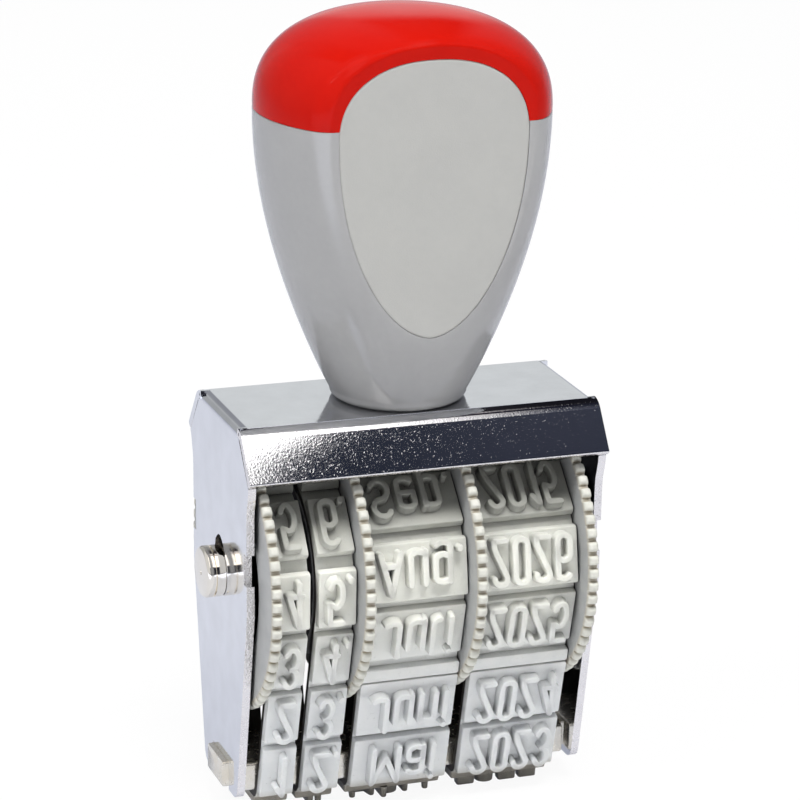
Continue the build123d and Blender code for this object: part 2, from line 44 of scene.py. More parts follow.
# Camera: the photograph's viewpoint, as angles in degrees and a lens in millimetres
CAMERA_PLACE = (-109.37, -308.2, 142.68)
CAMERA_TURN = 19.581
CAMERA_DIP = 17.294
CAMERA_ROLL = 0.923
CAMERA_LENS = 155.2

# Sheet frame
FRAME_WIDTH = 37.0
FRAME_TOP = 41.55
SHEET = 0.8
TOP_HALF_DEPTH = 7.35
FLANGE_OUT = 3.3
FLANGE_DROP = 4.53
LEG_LEAN = math.radians(0.35)
END_RADIUS = 1.05
BEND_RADIUS = 2.0
LIP_RADIUS = 0.2
RELIEF_RADIUS = 0.32
FLAT_HALF_DEPTH = TOP_HALF_DEPTH - 0.66
BEND_START = TOP_HALF_DEPTH - 1.06
FLANGE_LOW = 36.0
LEG_FOOT = 2.4
LEG_HALF_DEPTH = 9.2
REAR_REACH = 0.25
CUT_REACH = 30.0

# Axle and wheels
AXLE_Z = 24.86
AXLE_RADIUS = 2.2
AXLE_HEAD_RADIUS = 2.6
AXLE_END = 20.337
HEAD_GAP = 0.03
SPIGOT_RADIUS = 1.4
SPIGOT_LENGTH = 1.4
# A turned profile ends at this radius, because a ring can't shrink to a point
TIP_RADIUS = 0.0001
BORE_GAP = 0.05
# The pointed top of the axle's hole starts this many degrees above its middle
POINT_ANGLE = 37
RIM_RADIUS = 14.05
TOOTH_DEPTH = 0.62
TOOTH_COUNT = 63
PER_TOOTH = 16
RIM_THICKNESS = 1.0
RIM_EDGE = 0.42
DRUM_RADIUS = 9.15
SIDE_GAP = 0.15
WASHER_GAP = 0.1

# Bands
BAND_BASE = 0.8
PLATE_HEIGHT = 0.75
TYPE_HEIGHT = 1.0
BAND_RADIUS = 9.45
POSITIONS = 13
PLATE_LENGTH = 5.9
PLATE_CORNER = 0.18
STRIP_STEPS = 220
STRIP_INNER_BREAK = 0.12
STRIP_OUTER_BREAK = 0.08
# Sides of the strip's section that keep the pale rubber: its outer face and the edges beside it; the other
# sides get the dark rubber of ink and painted shade
STRIP_PALE_SIDES = (4, 5, 6)
SPLICE_GAP = 2.6
SPLICE_AFTER = 2
PAD_SHIFT = 0.78
PAD_HALF_LENGTH = 0.73
PAD_TOP = 0.42
ROW_SHIFT = 1.0
BAND_LEFT = {"day_tens": -16.0, "day_units": -11.65, "month": -6.45, "year": 5.05}
BAND_WIDTH = {"day_tens": 3.55, "day_units": 3.9, "month": 10.2, "year": 10.35}
LETTER_HEIGHT = {"day_tens": 4.4, "day_units": 4.4, "month": 4.0, "year": 4.4}
LETTER_STRETCH = {"day_tens": 1.05, "day_units": 1.05, "month": 1.5, "year": 1.03}
LETTER_GAP = {"day_tens": 0.8, "day_units": 0.8, "month": 1.05, "year": 0.93}
MONTHS = ["Apr.", "Mai", "Juni", "Juli", "Aug.", "Sep.", "Okt.", "Nov.", "Dez.", "Jan.", "Feb.", "Mrz."]
ROWS = {
    "day_tens": [str(k) for k in range(10)] + [""] * 3,
    "day_units": [f"{k}." for k in range(1, 10)] + ["0."] + [""] * 3,
    "month": MONTHS + [""],
    "year": [str(2022 + k) for k in range(5)] + [str(2015 + k) for k in range(7)] + [""],
}

# Bridge bar
BAR_BOTTOM = 2.6
BAR_HEIGHT = 3.0
BAR_HALF_DEPTH = 4.15
BAR_CORNER = 0.5
BAR_SEAT = 0.05
TAB_HALF_DEPTH = 2.7
TAB_HEIGHT = 2.7
TAB_RAISE = 0.1
TAB_END = 18.904
BAR_END = 17.124
SLOT_CLEARANCE = 0.05

# Stop notches in the edges of the legs
STOP_DEPTH = 0.9
STOP_REACH = 12.0
STOP_BOTTOM = AXLE_Z + 1.4
STOP_TOP = AXLE_Z + 4.6

# Handle
SEAT_GAP = 0.02
FOOT_RADIUS = 6.3
FOOT_ROUND = 0.9
SWELL_POWER = 0.9
SPLIT_Z = 70.7
HANDLE_TOP = 80.35
HANDLE_RADIUS = 14.55
DOME_POWER = 2.45
FACET_Y = 9.5
FACET_SOFTNESS = 1.7
HANDLE_STEPS = 288
# Small rounds at the split: how far in from the radius, and how far from the split
BODY_ROUND_START = 0.14
BODY_ROUND = [(0.02, 0.07), (0.09, 0.02)]
CAP_ROUND = [(0.09, 0.0), (0.02, 0.05)]
CAP_ROUND_END = 0.12
INLAY_DEPTH = 0.8
INLAY_BOTTOM = 49.9
INLAY_TOP = 77.1
INLAY_WIDE_Z = 69.6
INLAY_HALF_WIDTH = 9.55
INLAY_ARCH_POWER = 2.3
INLAY_TAPER_POWER = 1.12

# Stage
LAMP_AIM = (0, 0, 40)
HIGH_LIGHT = 0.35
LOW_LIGHT = 0.06


# Mesh helpers
FULL_TURN = 2 * math.pi
QUARTER_TURN = math.pi / 2
SMOOTH_ANGLE = 35
LATHE_STEPS = 96


def sweep(start, end, steps):
    """Evenly spaced values from one to another, both included."""
    return [start + (end - start) * k / steps for k in range(steps + 1)]


def about_axle(x, radius, turn):
    """The point at this radius and angle about the axle's line."""
    return (x, radius * math.cos(turn), AXLE_Z + radius * math.sin(turn))


def arc_points(cx, cy, rx, ry, start, end, steps=12):
    """Points of an arc about a centre, between two angles in degrees."""
    turns = [math.radians(angle) for angle in sweep(start, end, steps)]
    return [(cx + rx * math.cos(turn), cy + ry * math.sin(turn)) for turn in turns]


def quarter_round(steps):
    """Points of a quarter round of radius 1, as distances in from its first and its second side."""
    return [(1 - math.cos(turn), 1 - math.sin(turn)) for turn in sweep(0, QUARTER_TURN, steps)]


def round_rectangle(half_a, half_b, radius, steps):
    """Points of a rectangle with round corners, about its middle."""
    points = []
    for first, sign_a, sign_b in ((0, 1, 1), (90, -1, 1), (180, -1, -1), (270, 1, -1)):
        centre = (sign_a * (half_a - radius), sign_b * (half_b - radius))
        points += arc_points(*centre, radius, radius, first, first + 90, steps)
    return points


class Shape:
    """Points and faces of a mesh that is put together from several shells."""

    def __init__(self):
        self.points = []
        self.faces = []

    def ring(self, points):
        start = len(self.points)
        self.points += list(points)
        return list(range(start, len(self.points)))

    def bridge(self, low, high):
        count = len(low)
        for k in range(count):
            n = (k + 1) % count
            self.faces.append((low[k], low[n], high[n], high[k]))

    def stack(self, rings):
        """Joins closed rings one after another."""
        loops = [self.ring(points) for points in rings]
        for low, high in zip(loops, loops[1:]):
            self.bridge(low, high)
        return loops

    def fan(self, ring, point, turn=1):
        centre = self.ring([point])[0]
        for k in range(len(ring)):
            n = (k + 1) % len(ring)
            self.faces.append((ring[k], ring[n], centre)[::turn])

    def cap(self, ring, turn=1):
        self.faces.append(tuple(ring[::turn]))

    def loft(self, rings):
        """Joins closed rings one after another and closes both ends."""
        loops = self.stack(rings)
        self.cap(loops[0], -1)
        self.cap(loops[-1])

    def lathe(self, profile):
        """A turned shape about the axle's line, from points of x and radius."""
        turns = sweep(0, FULL_TURN, LATHE_STEPS)[:-1]
        self.loft([[about_axle(x, radius, turn) for turn in turns] for x, radius in profile])


def smooth(mesh, angle=SMOOTH_ANGLE):
    """Smooth shading that stays sharp where faces meet at more than this angle."""
    mesh.polygons.foreach_set("use_smooth", [True] * len(mesh.polygons))
    mesh.set_sharp_from_angle(angle=math.radians(angle))


def add_object(name, data):
    made = bpy.data.objects.new(name, data)
    bpy.context.scene.collection.objects.link(made)
    return made


def add_piece(name, shape, material, smooth_angle=SMOOTH_ANGLE):
    mesh = bpy.data.meshes.new(name)
    mesh.from_pydata([Vector(p) * MM for p in shape.points], [], shape.faces)
    mesh.materials.append(material)
    outward = bmesh.new()
    outward.from_mesh(mesh)
    bmesh.ops.recalc_face_normals(outward, faces=outward.faces)
    outward.to_mesh(mesh)
    outward.free()
    smooth(mesh, smooth_angle)
    mesh.update()
    return add_object(name, mesh)


def add_loft(name, rings, material):
    shape = Shape()
    shape.loft(rings)
    return add_piece(name, shape, material)


def add_lathe(name, profile, material):
    shape = Shape()
    shape.lathe(profile)
    return add_piece(name, shape, material)


def mount(piece, body, slot, *nodes):
    """Rides the piece on its body, and lets it stand for these construction nodes."""
    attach(piece, body)
    if nodes:
        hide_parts(*nodes)


def cut(piece, *cutters, operation="DIFFERENCE"):
    """Takes the cutters out of a piece, or joins them to it, and deletes them."""
    for cutter in cutters:
        modifier = piece.modifiers.new("cut", "BOOLEAN")
        modifier.operation = operation
        modifier.solver = "EXACT"
        modifier.object = cutter
    bpy.context.view_layer.update()
    evaluated = piece.evaluated_get(bpy.context.evaluated_depsgraph_get())
    mesh = bpy.data.meshes.new_from_object(evaluated)
    piece.modifiers.clear()
    piece.data = mesh
    smooth(mesh)
    for cutter in cutters:
        bpy.data.objects.remove(cutter)


# Node helpers and materials
WHITE = (1, 1, 1, 1)


def linear(red, green, blue):
    """A screen colour of 0 to 255 as the linear colour that shaders take."""
    out = []
    for value in (red, green, blue):
        share = value / 255
        out.append(share / 12.92 if share <= 0.04045 else ((share + 0.055) / 1.055) ** 2.4)
    return (*out, 1.0)


class Nodes:
    """Adds linked nodes to a tree, which reads a point of an object or a direction of the world."""

    def __init__(self, tree, coordinates):
        self.tree = tree
        self.place = self.node("ShaderNodeTexCoord").outputs[coordinates]

    def feed(self, socket, value):
        """Gives a socket its value, or a link where the value is the output of a node."""
        if isinstance(value, bpy.types.NodeSocket):
            self.tree.links.new(value, socket)
        else:
            socket.default_value = value

    def node(self, kind, inputs=None, **settings):
        """A node with these settings, and with values or links for these inputs."""
        made = self.tree.nodes.new(kind)
        for name, value in settings.items():
            setattr(made, name, value)
        for key, value in (inputs or {}).items():
            self.feed(made.inputs[key], value)
        return made

    def axes(self):
        return self.node("ShaderNodeSeparateXYZ", {"Vector": self.place}).outputs

    def ramp(self, source, stops):
        """Colours at places from 0 to 1 of a value."""
        made = self.node("ShaderNodeValToRGB", {"Fac": source})
        elements = made.color_ramp.elements
        while len(elements) < len(stops):
            elements.new(0.5)
        for element, (place, color) in zip(elements, stops):
            element.position = place
            element.color = color
        return made.outputs["Color"]

    def span(self, source, low, high, out_low=0.0, out_high=1.0):
        """Carries a value from one range to another and holds it at the ends."""
        inputs = {"Value": source, "From Min": low, "From Max": high, "To Min": out_low, "To Max": out_high}
        return self.node("ShaderNodeMapRange", inputs).outputs["Result"]

    def math(self, operation, first, second=0.0):
        return self.node("ShaderNodeMath", {0: first, 1: second}, operation=operation).outputs["Value"]

    def product(self, first, *others):
        for other in others:
            first = self.math("MULTIPLY", first, other)
        return first

    def mix(self, factor, first, second, blend="MIX"):
        made = self.node("ShaderNodeMix", {"Factor": factor}, data_type="RGBA", blend_type=blend)
        sockets = [socket for socket in made.inputs if socket.type == "RGBA"]
        self.feed(sockets[0], first)
        self.feed(sockets[1], second)
        return [socket for socket in made.outputs if socket.type == "RGBA"][0]

    def glow(self, kind, color, strength=1.0):
        """An emission or background shader."""
        return self.node(kind, {"Color": color, "Strength": strength}).outputs[0]

    def mix_shader(self, factor, first, second):
        return self.node("ShaderNodeMixShader", {0: factor, 1: first, 2: second}).outputs[0]


class Finish(Nodes):
    """A material with its shader, and helpers for its colour, roughness and relief."""

    def __init__(self, name, roughness, metallic=0.0):
        self.material = bpy.data.materials.new(name)
        self.material.use_nodes = True
        super().__init__(self.material.node_tree, "Object")
        self.shader = self.tree.nodes["Principled BSDF"]
        self.set("Roughness", roughness)
        self.set("Metallic", metallic)

    def set(self, name, value):
        """Gives a socket of the shader a value or the output of a node."""
        self.feed(self.shader.inputs[name], value)

    def noise(self, size, detail=2.0, roughness=0.5):
        """Noise whose lumps are about this many millimetres across."""
        inputs = {"Vector": self.place, "Scale": 1 / (size * MM), "Detail": detail, "Roughness": roughness}
        return self.node("ShaderNodeTexNoise", inputs).outputs["Fac"]

    def mottled(self, size, first, second, contrast=0.2):
        """Two colours in soft spots of about this size."""
        low = 0.5 - contrast
        return self.ramp(self.noise(size, 3), [(low, first), (1 - low, second)])

    def rough(self, size, smooth_value, coarse_value):
        """Roughness that wanders between two values in spots of about this size."""
        self.set("Roughness", self.span(self.noise(size, 3), 0.3, 0.7, smooth_value, coarse_value))

    def bump(self, height, distance, strength=1.0):
        """Relief of this many millimetres, on top of any relief already there."""
        inputs = {"Height": height, "Distance": distance * MM, "Strength": strength}
        normal = self.shader.inputs["Normal"]
        if normal.is_linked:
            inputs["Normal"] = normal.links[0].from_socket
        self.feed(normal, self.node("ShaderNodeBump", inputs).outputs["Normal"])

    def crevice(self, reach, closed, open_air):
        """0 in gaps and 1 in the open, looking this many millimetres around."""
        made = self.node("ShaderNodeAmbientOcclusion", {"Distance": reach * MM}, samples=6)
        return self.span(made.outputs["AO"], closed, open_air)


def rubber_finish():
    """Pale rubber with painted light: warmer high up and cooler low down, painted shade at its sole and
    below the frame's top, near black painted shade in deep gaps, and narrow crevices darkened for painted
    shade and dirt.
    """
    finish = Finish("band_rubber", 0.46)
    base = finish.mottled(2.4, linear(217, 218, 216), linear(226, 226, 223))
    specks = finish.ramp(finish.noise(0.33, 4, 0.7), [(0.3, linear(150, 152, 146)), (0.38, WHITE)])
    base = finish.mix(0.3, base, specks, "MULTIPLY")
    # Darker in narrow crevices round the letters: painted shade, together with dirt
    dirt_and_crevice_shade = finish.mix(finish.crevice(0.5, 0.1, 0.4), linear(165, 166, 161), WHITE)
    base = finish.mix(0.25, base, dirt_and_crevice_shade, "MULTIPLY")
    z = finish.axes()["Z"]
    # Painted light: warmer high up, where the warm key falls, and cooler low down, where the cool fill
    # falls
    painted_light_by_height = finish.mix(finish.span(z, 12 * MM, 24 * MM), linear(247, 249, 253), linear(253, 253, 247))
    # Painted shade: darker at the sole, low down near the floor
    painted_light_by_height = finish.mix(finish.span(z, 1.6 * MM, 3.2 * MM), linear(178, 172, 162), painted_light_by_height)
    base = finish.mix(1.0, base, painted_light_by_height, "MULTIPLY")
    # Painted shade: the rows just below the frame's top are darkened like the flange's shadow
    painted_flange_shade = finish.product(finish.span(z, 28.5 * MM, 32.0 * MM), 0.7)
    base = finish.mix(painted_flange_shade, base, linear(84, 85, 80))
    # Painted shade: near black deep in the gaps, by occlusion over 6 mm
    finish.set("Base Color", finish.mix(finish.crevice(6.0, 0.05, 0.19), linear(14, 11, 8), base))
    finish.rough(0.8, 0.38, 0.55)
    finish.bump(finish.noise(0.16, 3, 0.6), 0.012)
    finish.bump(finish.noise(1.5, 2), 0.03)
    finish.set("Subsurface Weight", 0.25)
    finish.set("Subsurface Radius", (0.8 * MM, 0.8 * MM, 0.7 * MM))
    finish.set("Subsurface Scale", 1.0)
    return finish.material


def shaded_rubber_finish():
    """The sides and the inner face of a band's strip, dark with ink and dust, and with painted shade where
    they lie in shadow inside the stamp.
    """
    finish = Finish("band_inside_ink_and_shade", 0.6)
    finish.set("Base Color", finish.mottled(1.2, linear(34, 30, 24), linear(52, 47, 39)))
    finish.bump(finish.noise(0.3, 3, 0.6), 0.015)
    return finish.material


def wheel_finish():
    """Cream moulding with painted shade: greyer on the side faces than on the teeth, browner between the
    teeth with dust and painted shade, and near black deep inside.
    """
    finish = Finish("wheel_plastic", 0.42)
    _, y, z = finish.axes()
    up = finish.math("SUBTRACT", z, AXLE_Z * MM)
    radius = finish.math("SQRT", finish.math("ADD", finish.product(up, up), finish.product(y, y)))
    root = (RIM_RADIUS - TOOTH_DEPTH) * MM
    # Painted shade: the side faces are greyer than the paler teeth
    face = finish.mottled(1.9, linear(162, 164, 165), linear(175, 176, 175))
    tooth = finish.mottled(0.9, linear(197, 197, 189), linear(209, 209, 201))
    # Between the teeth: browner for dust, and darker in the crevices for painted shade
    gap_dust_and_shade = finish.mix(finish.crevice(0.8, 0.25, 0.85), linear(144, 130, 104), linear(186, 181, 168))
    on_tooth = finish.span(radius, root, root + 0.6 * TOOTH_DEPTH * MM)
    in_rim = finish.span(radius, root - 0.25 * MM, root + 0.02 * MM)
    base = finish.mix(in_rim, face, finish.mix(on_tooth, gap_dust_and_shade, tooth))
    # Painted shade: near black deep inside, by occlusion over 6 mm
    finish.set("Base Color", finish.mix(finish.crevice(6.0, 0.05, 0.26), linear(12, 10, 7), base))
    finish.bump(finish.noise(0.2, 3, 0.6), 0.01)
    finish.bump(finish.noise(1.2, 2), 0.02)
    return finish.material


def plated_finish(name, peel, peel_size, roughness, tint=(232, 233, 236), pits=0.0, grains=0.0):
    """Bright plating over ground sheet, with coarse pits or fine grains where asked."""
    finish = Finish(name, roughness, 1.0)
    light = [min(255, value + 8) for value in tint]
    finish.set("Base Color", finish.mottled(3.0, linear(*tint), linear(*light)))
    finish.rough(0.5, roughness * 0.8, roughness * 1.3)
    finish.bump(finish.noise(peel_size, 2, 0.5), peel)
    if pits:
        finish.bump(finish.noise(0.5, 3, 0.7), pits)
    if grains:
        finish.bump(finish.span(finish.noise(0.2, 1.0), 0.65, 0.78), grains)
    return finish.material


def nickel_finish():
    finish = Finish("warm_nickel", 0.2, 0.9)
    finish.set("Base Color", finish.mottled(2.0, linear(240, 232, 214), linear(250, 246, 236)))
    finish.rough(0.6, 0.15, 0.3)
    finish.bump(finish.noise(0.3, 3, 0.6), 0.012)
    return finish.material


def moulded_finish(name, dark, light, roughness, grain=0.0, gloss=0.5):
    """Moulded plastic with faint flow marks and, where asked, a fine satin grain."""
    finish = Finish(name, roughness)
    base = finish.mottled(9.0, linear(*dark), linear(*light), 0.25)
    fine = finish.mottled(0.7, linear(*dark), linear(*light))
    finish.set("Base Color", finish.mix(0.25, base, fine))
    finish.rough(2.5, roughness * 0.85, roughness * 1.2)
    finish.bump(finish.noise(4.0, 2), 0.02, 0.5)
    if grain:
        finish.bump(finish.noise(0.12, 2), grain)
    finish.set("Specular IOR Level", gloss)
    return finish.material


def brass_finish():
    finish = Finish("insert_brass", 0.3, 1.0)
    finish.set("Base Color", finish.mottled(1.5, linear(196, 160, 86), linear(214, 182, 110)))
    finish.bump(finish.noise(0.2, 2), 0.01)
    return finish.material


RUBBER = rubber_finish()
RUBBER_INSIDE_INK_AND_SHADE = shaded_rubber_finish()
WHEEL = wheel_finish()
PLATE = plated_finish("bright_plate", 0.0012, 0.5, 0.09)
FLANGE = plated_finish("speckled_plate", 0.0017, 0.2, 0.04, grains=0.0012)
EDGE = plated_finish("cut_edge", 0.02, 0.25, 0.25, (247, 243, 240), pits=0.08)
PIN = plated_finish("bright_pin", 0.0015, 0.4, 0.06, (244, 238, 226))
NICKEL = nickel_finish()
HANDLE = moulded_finish("handle_plastic", (153, 153, 154), (160, 160, 160), 0.12, gloss=0.75)
CAP = moulded_finish("cap_plastic", (178, 18, 10), (184, 23, 12), 0.13, gloss=0.08)
INLAY = moulded_finish("inlay_plastic", (168, 168, 166), (175, 175, 172), 0.5, 0.012)
WASHER = moulded_finish("washer_plastic", (150, 150, 146), (162, 162, 158), 0.45, 0.006)
BRASS = brass_finish()


# Palm handle: a turned form whose depth is softly limited to two flat facets
def soft_limit(value, limit, softness):
    size = abs(value)
    overlap = max(softness - abs(size - limit), 0) / softness
    kept = min(size, limit) - overlap * overlap * softness / 4
    return math.copysign(kept, value)


def handle_ring(radius, z):
    points = []
    for k in range(HANDLE_STEPS):
        turn = FULL_TURN * (k + 0.5) / HANDLE_STEPS
        y = soft_limit(radius * math.sin(turn), FACET_Y + FACET_SOFTNESS / 8, FACET_SOFTNESS)
        points.append((radius * math.cos(turn), max(-FACET_Y, min(FACET_Y, y)), z))
    return points


def handle_part(rings, top):
    """A part of the handle from radii and heights, closed by a fan at each end."""
    shape = Shape()
    loops = shape.stack([handle_ring(radius, z) for radius, z in rings])
    shape.fan(loops[0], (0, 0, rings[0][1]), -1)
    shape.fan(loops[-1], (0, 0, top))
    return shape


def body_radius(z):
    share = (z - FRAME_TOP) / (SPLIT_Z - FRAME_TOP)
    return FOOT_RADIUS + (HANDLE_RADIUS - FOOT_RADIUS) * math.sin(share * QUARTER_TURN) ** SWELL_POWER


def handle_body():
    """Rounded foot, swelling sides and a small round at the split."""
    foot = FRAME_TOP + SEAT_GAP
    shoulder = foot + FOOT_ROUND
    radius = body_radius(shoulder)
    rings = [(radius - FOOT_ROUND * inward, foot + FOOT_ROUND * rise) for rise, inward in quarter_round(8)]
    rings += [(body_radius(z), z) for z in sweep(shoulder, SPLIT_Z - BODY_ROUND_START, 84)[1:]]
    rings += [(HANDLE_RADIUS - inward, SPLIT_Z - below) for inward, below in BODY_ROUND]
    return handle_part(rings, rings[-1][1])


def handle_cap():
    """A small round at the split and the dome."""
    rings = [(HANDLE_RADIUS - inward, SPLIT_Z + above) for inward, above in CAP_ROUND]
    for turn in sweep(0, QUARTER_TURN, 72)[1:-1]:
        z = SPLIT_Z + (HANDLE_TOP - SPLIT_Z) * math.sin(turn) ** (2 / DOME_POWER)
        if z > SPLIT_Z + CAP_ROUND_END:
            rings.append((HANDLE_RADIUS * math.cos(turn) ** (2 / DOME_POWER), z))
    return handle_part(rings, HANDLE_TOP)


def inlay_outline(grow):
    """Outline of the facet plate in x and z: a blunt arch above and a slimmer one below."""
    points = []
    half = INLAY_HALF_WIDTH + grow
    for turn in sweep(0, FULL_TURN, 120)[:-1]:
        side, lift = math.cos(turn), math.sin(turn)
        if lift >= 0:
            power = 2 / INLAY_ARCH_POWER
            z = INLAY_WIDE_Z + (INLAY_TOP - INLAY_WIDE_Z + grow) * lift**power
        else:
            power = INLAY_TAPER_POWER
            z = INLAY_WIDE_Z + (INLAY_WIDE_Z - INLAY_BOTTOM + grow) * lift
        points.append((half * math.copysign(abs(side) ** power, side), z))
    return points


def facet_block(name, material, grow, near, far, edge_width, edge_drop):
    """A plate across the front facet, from one depth to another, with a soft front edge."""
    steps = [(0.0, near)]
    steps += [(edge_width * inward, far - edge_drop * down) for inward, down in quarter_round(6)]
    rings = [[(x, -depth, z) for x, z in inlay_outline(grow - inset)] for inset, depth in steps]
    return add_loft(name, rings, material)


def turned_copy(front, name):
    """A copy of a front piece turned to the back."""
    mesh = front.data.copy()
    mesh.transform(Matrix.Rotation(math.pi, 4, "Z"))
    return add_object(name, mesh)


def make_handle():
    floor_depth = FACET_Y - INLAY_DEPTH
    for name, shape, material, slot in (
        ("handle_body", handle_body(), HANDLE, "handle_plastic"),
        ("handle_cap", handle_cap(), CAP, "cap_plastic"),
    ):
        piece = add_piece(name + "_moulding", shape, material)
        front = facet_block("pocket_front", material, SEAT_GAP, floor_depth, FACET_Y + 3, 0.0, 1.0)
        cut(piece, front, turned_copy(front, "pocket_rear"))
        mount(piece, FIXED, slot, name)
    front = facet_block("front_facet_plate", INLAY, 0.0, floor_depth + SEAT_GAP, FACET_Y, 0.34, 0.1)
    rear = turned_copy(front, "rear_facet_plate")
    mount(front, FIXED, "inlay_plastic", "front_inlay")
    mount(rear, FIXED, "inlay_plastic", "rear_inlay")


make_handle()


# Sheet frame: a canopy with two sloping flanges, and two legs
def lean_shift(z):
    return (FRAME_TOP - z) * math.tan(LEG_LEAN)


def flange_lines():
    """Outer tip of the flange's section, its inner tip, and the inner corner of its bend."""
    slope = math.hypot(FLANGE_OUT, FLANGE_DROP)
    tip = (TOP_HALF_DEPTH + FLANGE_OUT, FRAME_TOP - FLANGE_DROP)
    inner_tip = (tip[0] - SHEET * FLANGE_DROP / slope, tip[1] - SHEET * FLANGE_OUT / slope)
    share = (FRAME_TOP - SHEET - inner_tip[1]) / FLANGE_DROP
    return tip, inner_tip, (inner_tip[0] - share * FLANGE_OUT, FRAME_TOP - SHEET)


def rounded_turn(before, corner, after, radius, count):
    """Points of an arc that rounds a corner between two straight lines."""
    first = (Vector(before) - Vector(corner)).normalized()
    second = (Vector(after) - Vector(corner)).normalized()
    half = first.angle(second) / 2
    reach = radius / math.tan(half)
    centre = Vector(corner) + (first + second).normalized() * (radius / math.sin(half))
    start = Vector(corner) + first * reach - centre
    end = Vector(corner) + second * reach - centre
    swing = math.atan2(start.x * end.y - start.y * end.x, start.dot(end))
    return [tuple(centre + Matrix.Rotation(turn, 2) @ start) for turn in sweep(0, swing, count - 1)]


def flange_profile(side):
    """Closed outline of one flange and its bend in y and z, seen along the axle."""
    tip, inner_tip, inner_bend = flange_lines()
    bend = (TOP_HALF_DEPTH, FRAME_TOP)
    outline = [(BEND_START, FRAME_TOP)]
    outline += rounded_turn((0, FRAME_TOP), bend, tip, BEND_RADIUS, 15)
    outline += rounded_turn(bend, tip, inner_tip, LIP_RADIUS, 4)
    outline += rounded_turn(tip, inner_tip, inner_bend, LIP_RADIUS, 4)
    outline += rounded_turn(inner_tip, inner_bend, (0, FRAME_TOP - SHEET), BEND_RADIUS - SHEET, 5)
    outline.append((BEND_START, FRAME_TOP - SHEET))
    return [(side * y, z) for y, z in outline]


def leg_edge():
    """Heights of a leg, from its rounded foot up to the bend, each with the half depth there."""
    tip, inner_tip, inner_bend = flange_lines()
    foot = LEG_FOOT
    neck = tip[1] - 3.6
    bend = FRAME_TOP - END_RADIUS
    return [
        (foot, 4.4),
        (foot + 0.08, 4.9),
        (foot + 0.33, 5.3),
        (foot + 0.75, 5.6),
        (foot + 1.3, 5.75),
        (23.0, LEG_HALF_DEPTH),
        (neck - 0.4, LEG_HALF_DEPTH),
        (neck + 0.6, LEG_HALF_DEPTH + 0.08),
        (neck + 1.45, LEG_HALF_DEPTH + 0.35),
        (tip[1] - 1.3, inner_tip[0] - 0.24),
        (inner_tip[1] - 0.1, inner_tip[0] - 0.14),
        (bend - 0.15, inner_bend[0] - 0.06),
        (bend, inner_bend[0] - 0.1),
    ]


def strip_stations():
    """Outer line of the bent strip, foot to foot: x, z, inward direction and half depth."""
    half = FRAME_WIDTH / 2
    right = [(half - lean_shift(z), z, (-1.0, 0.0), depth) for z, depth in leg_edge()]
    bend = FRAME_TOP - END_RADIUS
    bend_x = half - END_RADIUS - lean_shift(bend)
    for turn in sweep(0, QUARTER_TURN, 12)[1:]:
        cosine, sine = math.cos(turn), math.sin(turn)
        place = (bend_x + END_RADIUS * cosine, bend + END_RADIUS * sine)
        right.append((*place, (-cosine, -sine), FLAT_HALF_DEPTH))
    right.append((bend_x - 0.4, FRAME_TOP, (0.0, -1.0), FLAT_HALF_DEPTH))
    left = [(-x, z, (-inward[0], inward[1]), depth) for x, z, inward, depth in reversed(right)]
    return right + left


def prism(name, outline, reach=CUT_REACH):
    """A block along the axle's direction with this outline in y and z."""
    return add_loft(name, [[(x, y, z) for y, z in outline] for x in (-reach, reach)], PLATE)


def axle_hole():
    """Cutter for the round holes with a blunt point at their top."""
    radius = AXLE_RADIUS + BORE_GAP
    tip = AXLE_Z + radius / math.sin(math.radians(POINT_ANGLE))
    arch = [(1.35, 0.8), (0.78, 0.3), (0.32, 0.07), (0, 0)]
    ring = [(y, tip - drop) for y, drop in arch] + [(-y, tip - drop) for y, drop in arch[-2::-1]]
    ring += arc_points(0, AXLE_Z, radius, radius, 180 - POINT_ANGLE, 360 + POINT_ANGLE, 32)
    return prism("axle_hole", ring, FRAME_WIDTH / 2 + 3)


def rectangle(low_y, low_z, high_y, high_z):
    return [(low_y, low_z), (high_y, low_z), (high_y, high_z), (low_y, high_z)]


def corner_relief(side, end):
    """Cutter for the small round hole where a flange's bend meets a leg's bend."""
    x = end * (FRAME_WIDTH / 2 - 0.3)
    y = side * (FLAT_HALF_DEPTH + 0.05)
    turns = sweep(0, FULL_TURN, 16)[:-1]
    rings = []
    for tilt in sweep(0, math.pi, 12)[1:-1]:
        reach = RELIEF_RADIUS * math.sin(tilt)
        z = FRAME_TOP - 0.5 - 1.8 * RELIEF_RADIUS * math.cos(tilt)
        rings.append([(x + reach * math.cos(turn), y + reach * math.sin(turn), z) for turn in turns])
    return add_loft(f"relief_{side}_{end}", rings, PLATE)


def paint_frame(piece):
    """Gives the flanges their speckled plating and the cut edges their rough one."""
    flange_index, edge_index = 1, 2
    piece.data.materials.append(FLANGE)
    piece.data.materials.append(EDGE)
    for polygon in piece.data.polygons:
        normal, centre = polygon.normal, polygon.center / MM
        across = abs(normal.x) < 0.5
        outside = abs(centre.y) > FLAT_HALF_DEPTH + 0.01
        front_end = outside and centre.y < 0 and abs(centre.x) > FRAME_WIDTH / 2 - 0.05
        if outside and across and centre.z > FLANGE_LOW and normal.z > 0.1:
            polygon.material_index = flange_index
        elif across and centre.z < FRAME_TOP - SHEET - 0.1 and normal.z < 0.5:
            polygon.material_index = edge_index
        elif front_end and abs(normal.x) > 0.9:
            polygon.material_index = edge_index


def soften_edges(piece):
    """Rounds the sheet's edges a little and keeps its flat faces evenly lit."""
    rounding = piece.modifiers.new("bevel", "BEVEL")
    rounding.width = 0.11 * MM
    rounding.segments = 3
    rounding.limit_method = "ANGLE"
    rounding.angle_limit = math.radians(32)
    rounding.harden_normals = True
    evening = piece.modifiers.new("even_normals", "WEIGHTED_NORMAL")
    evening.keep_sharp = True
    evening.weight = 90


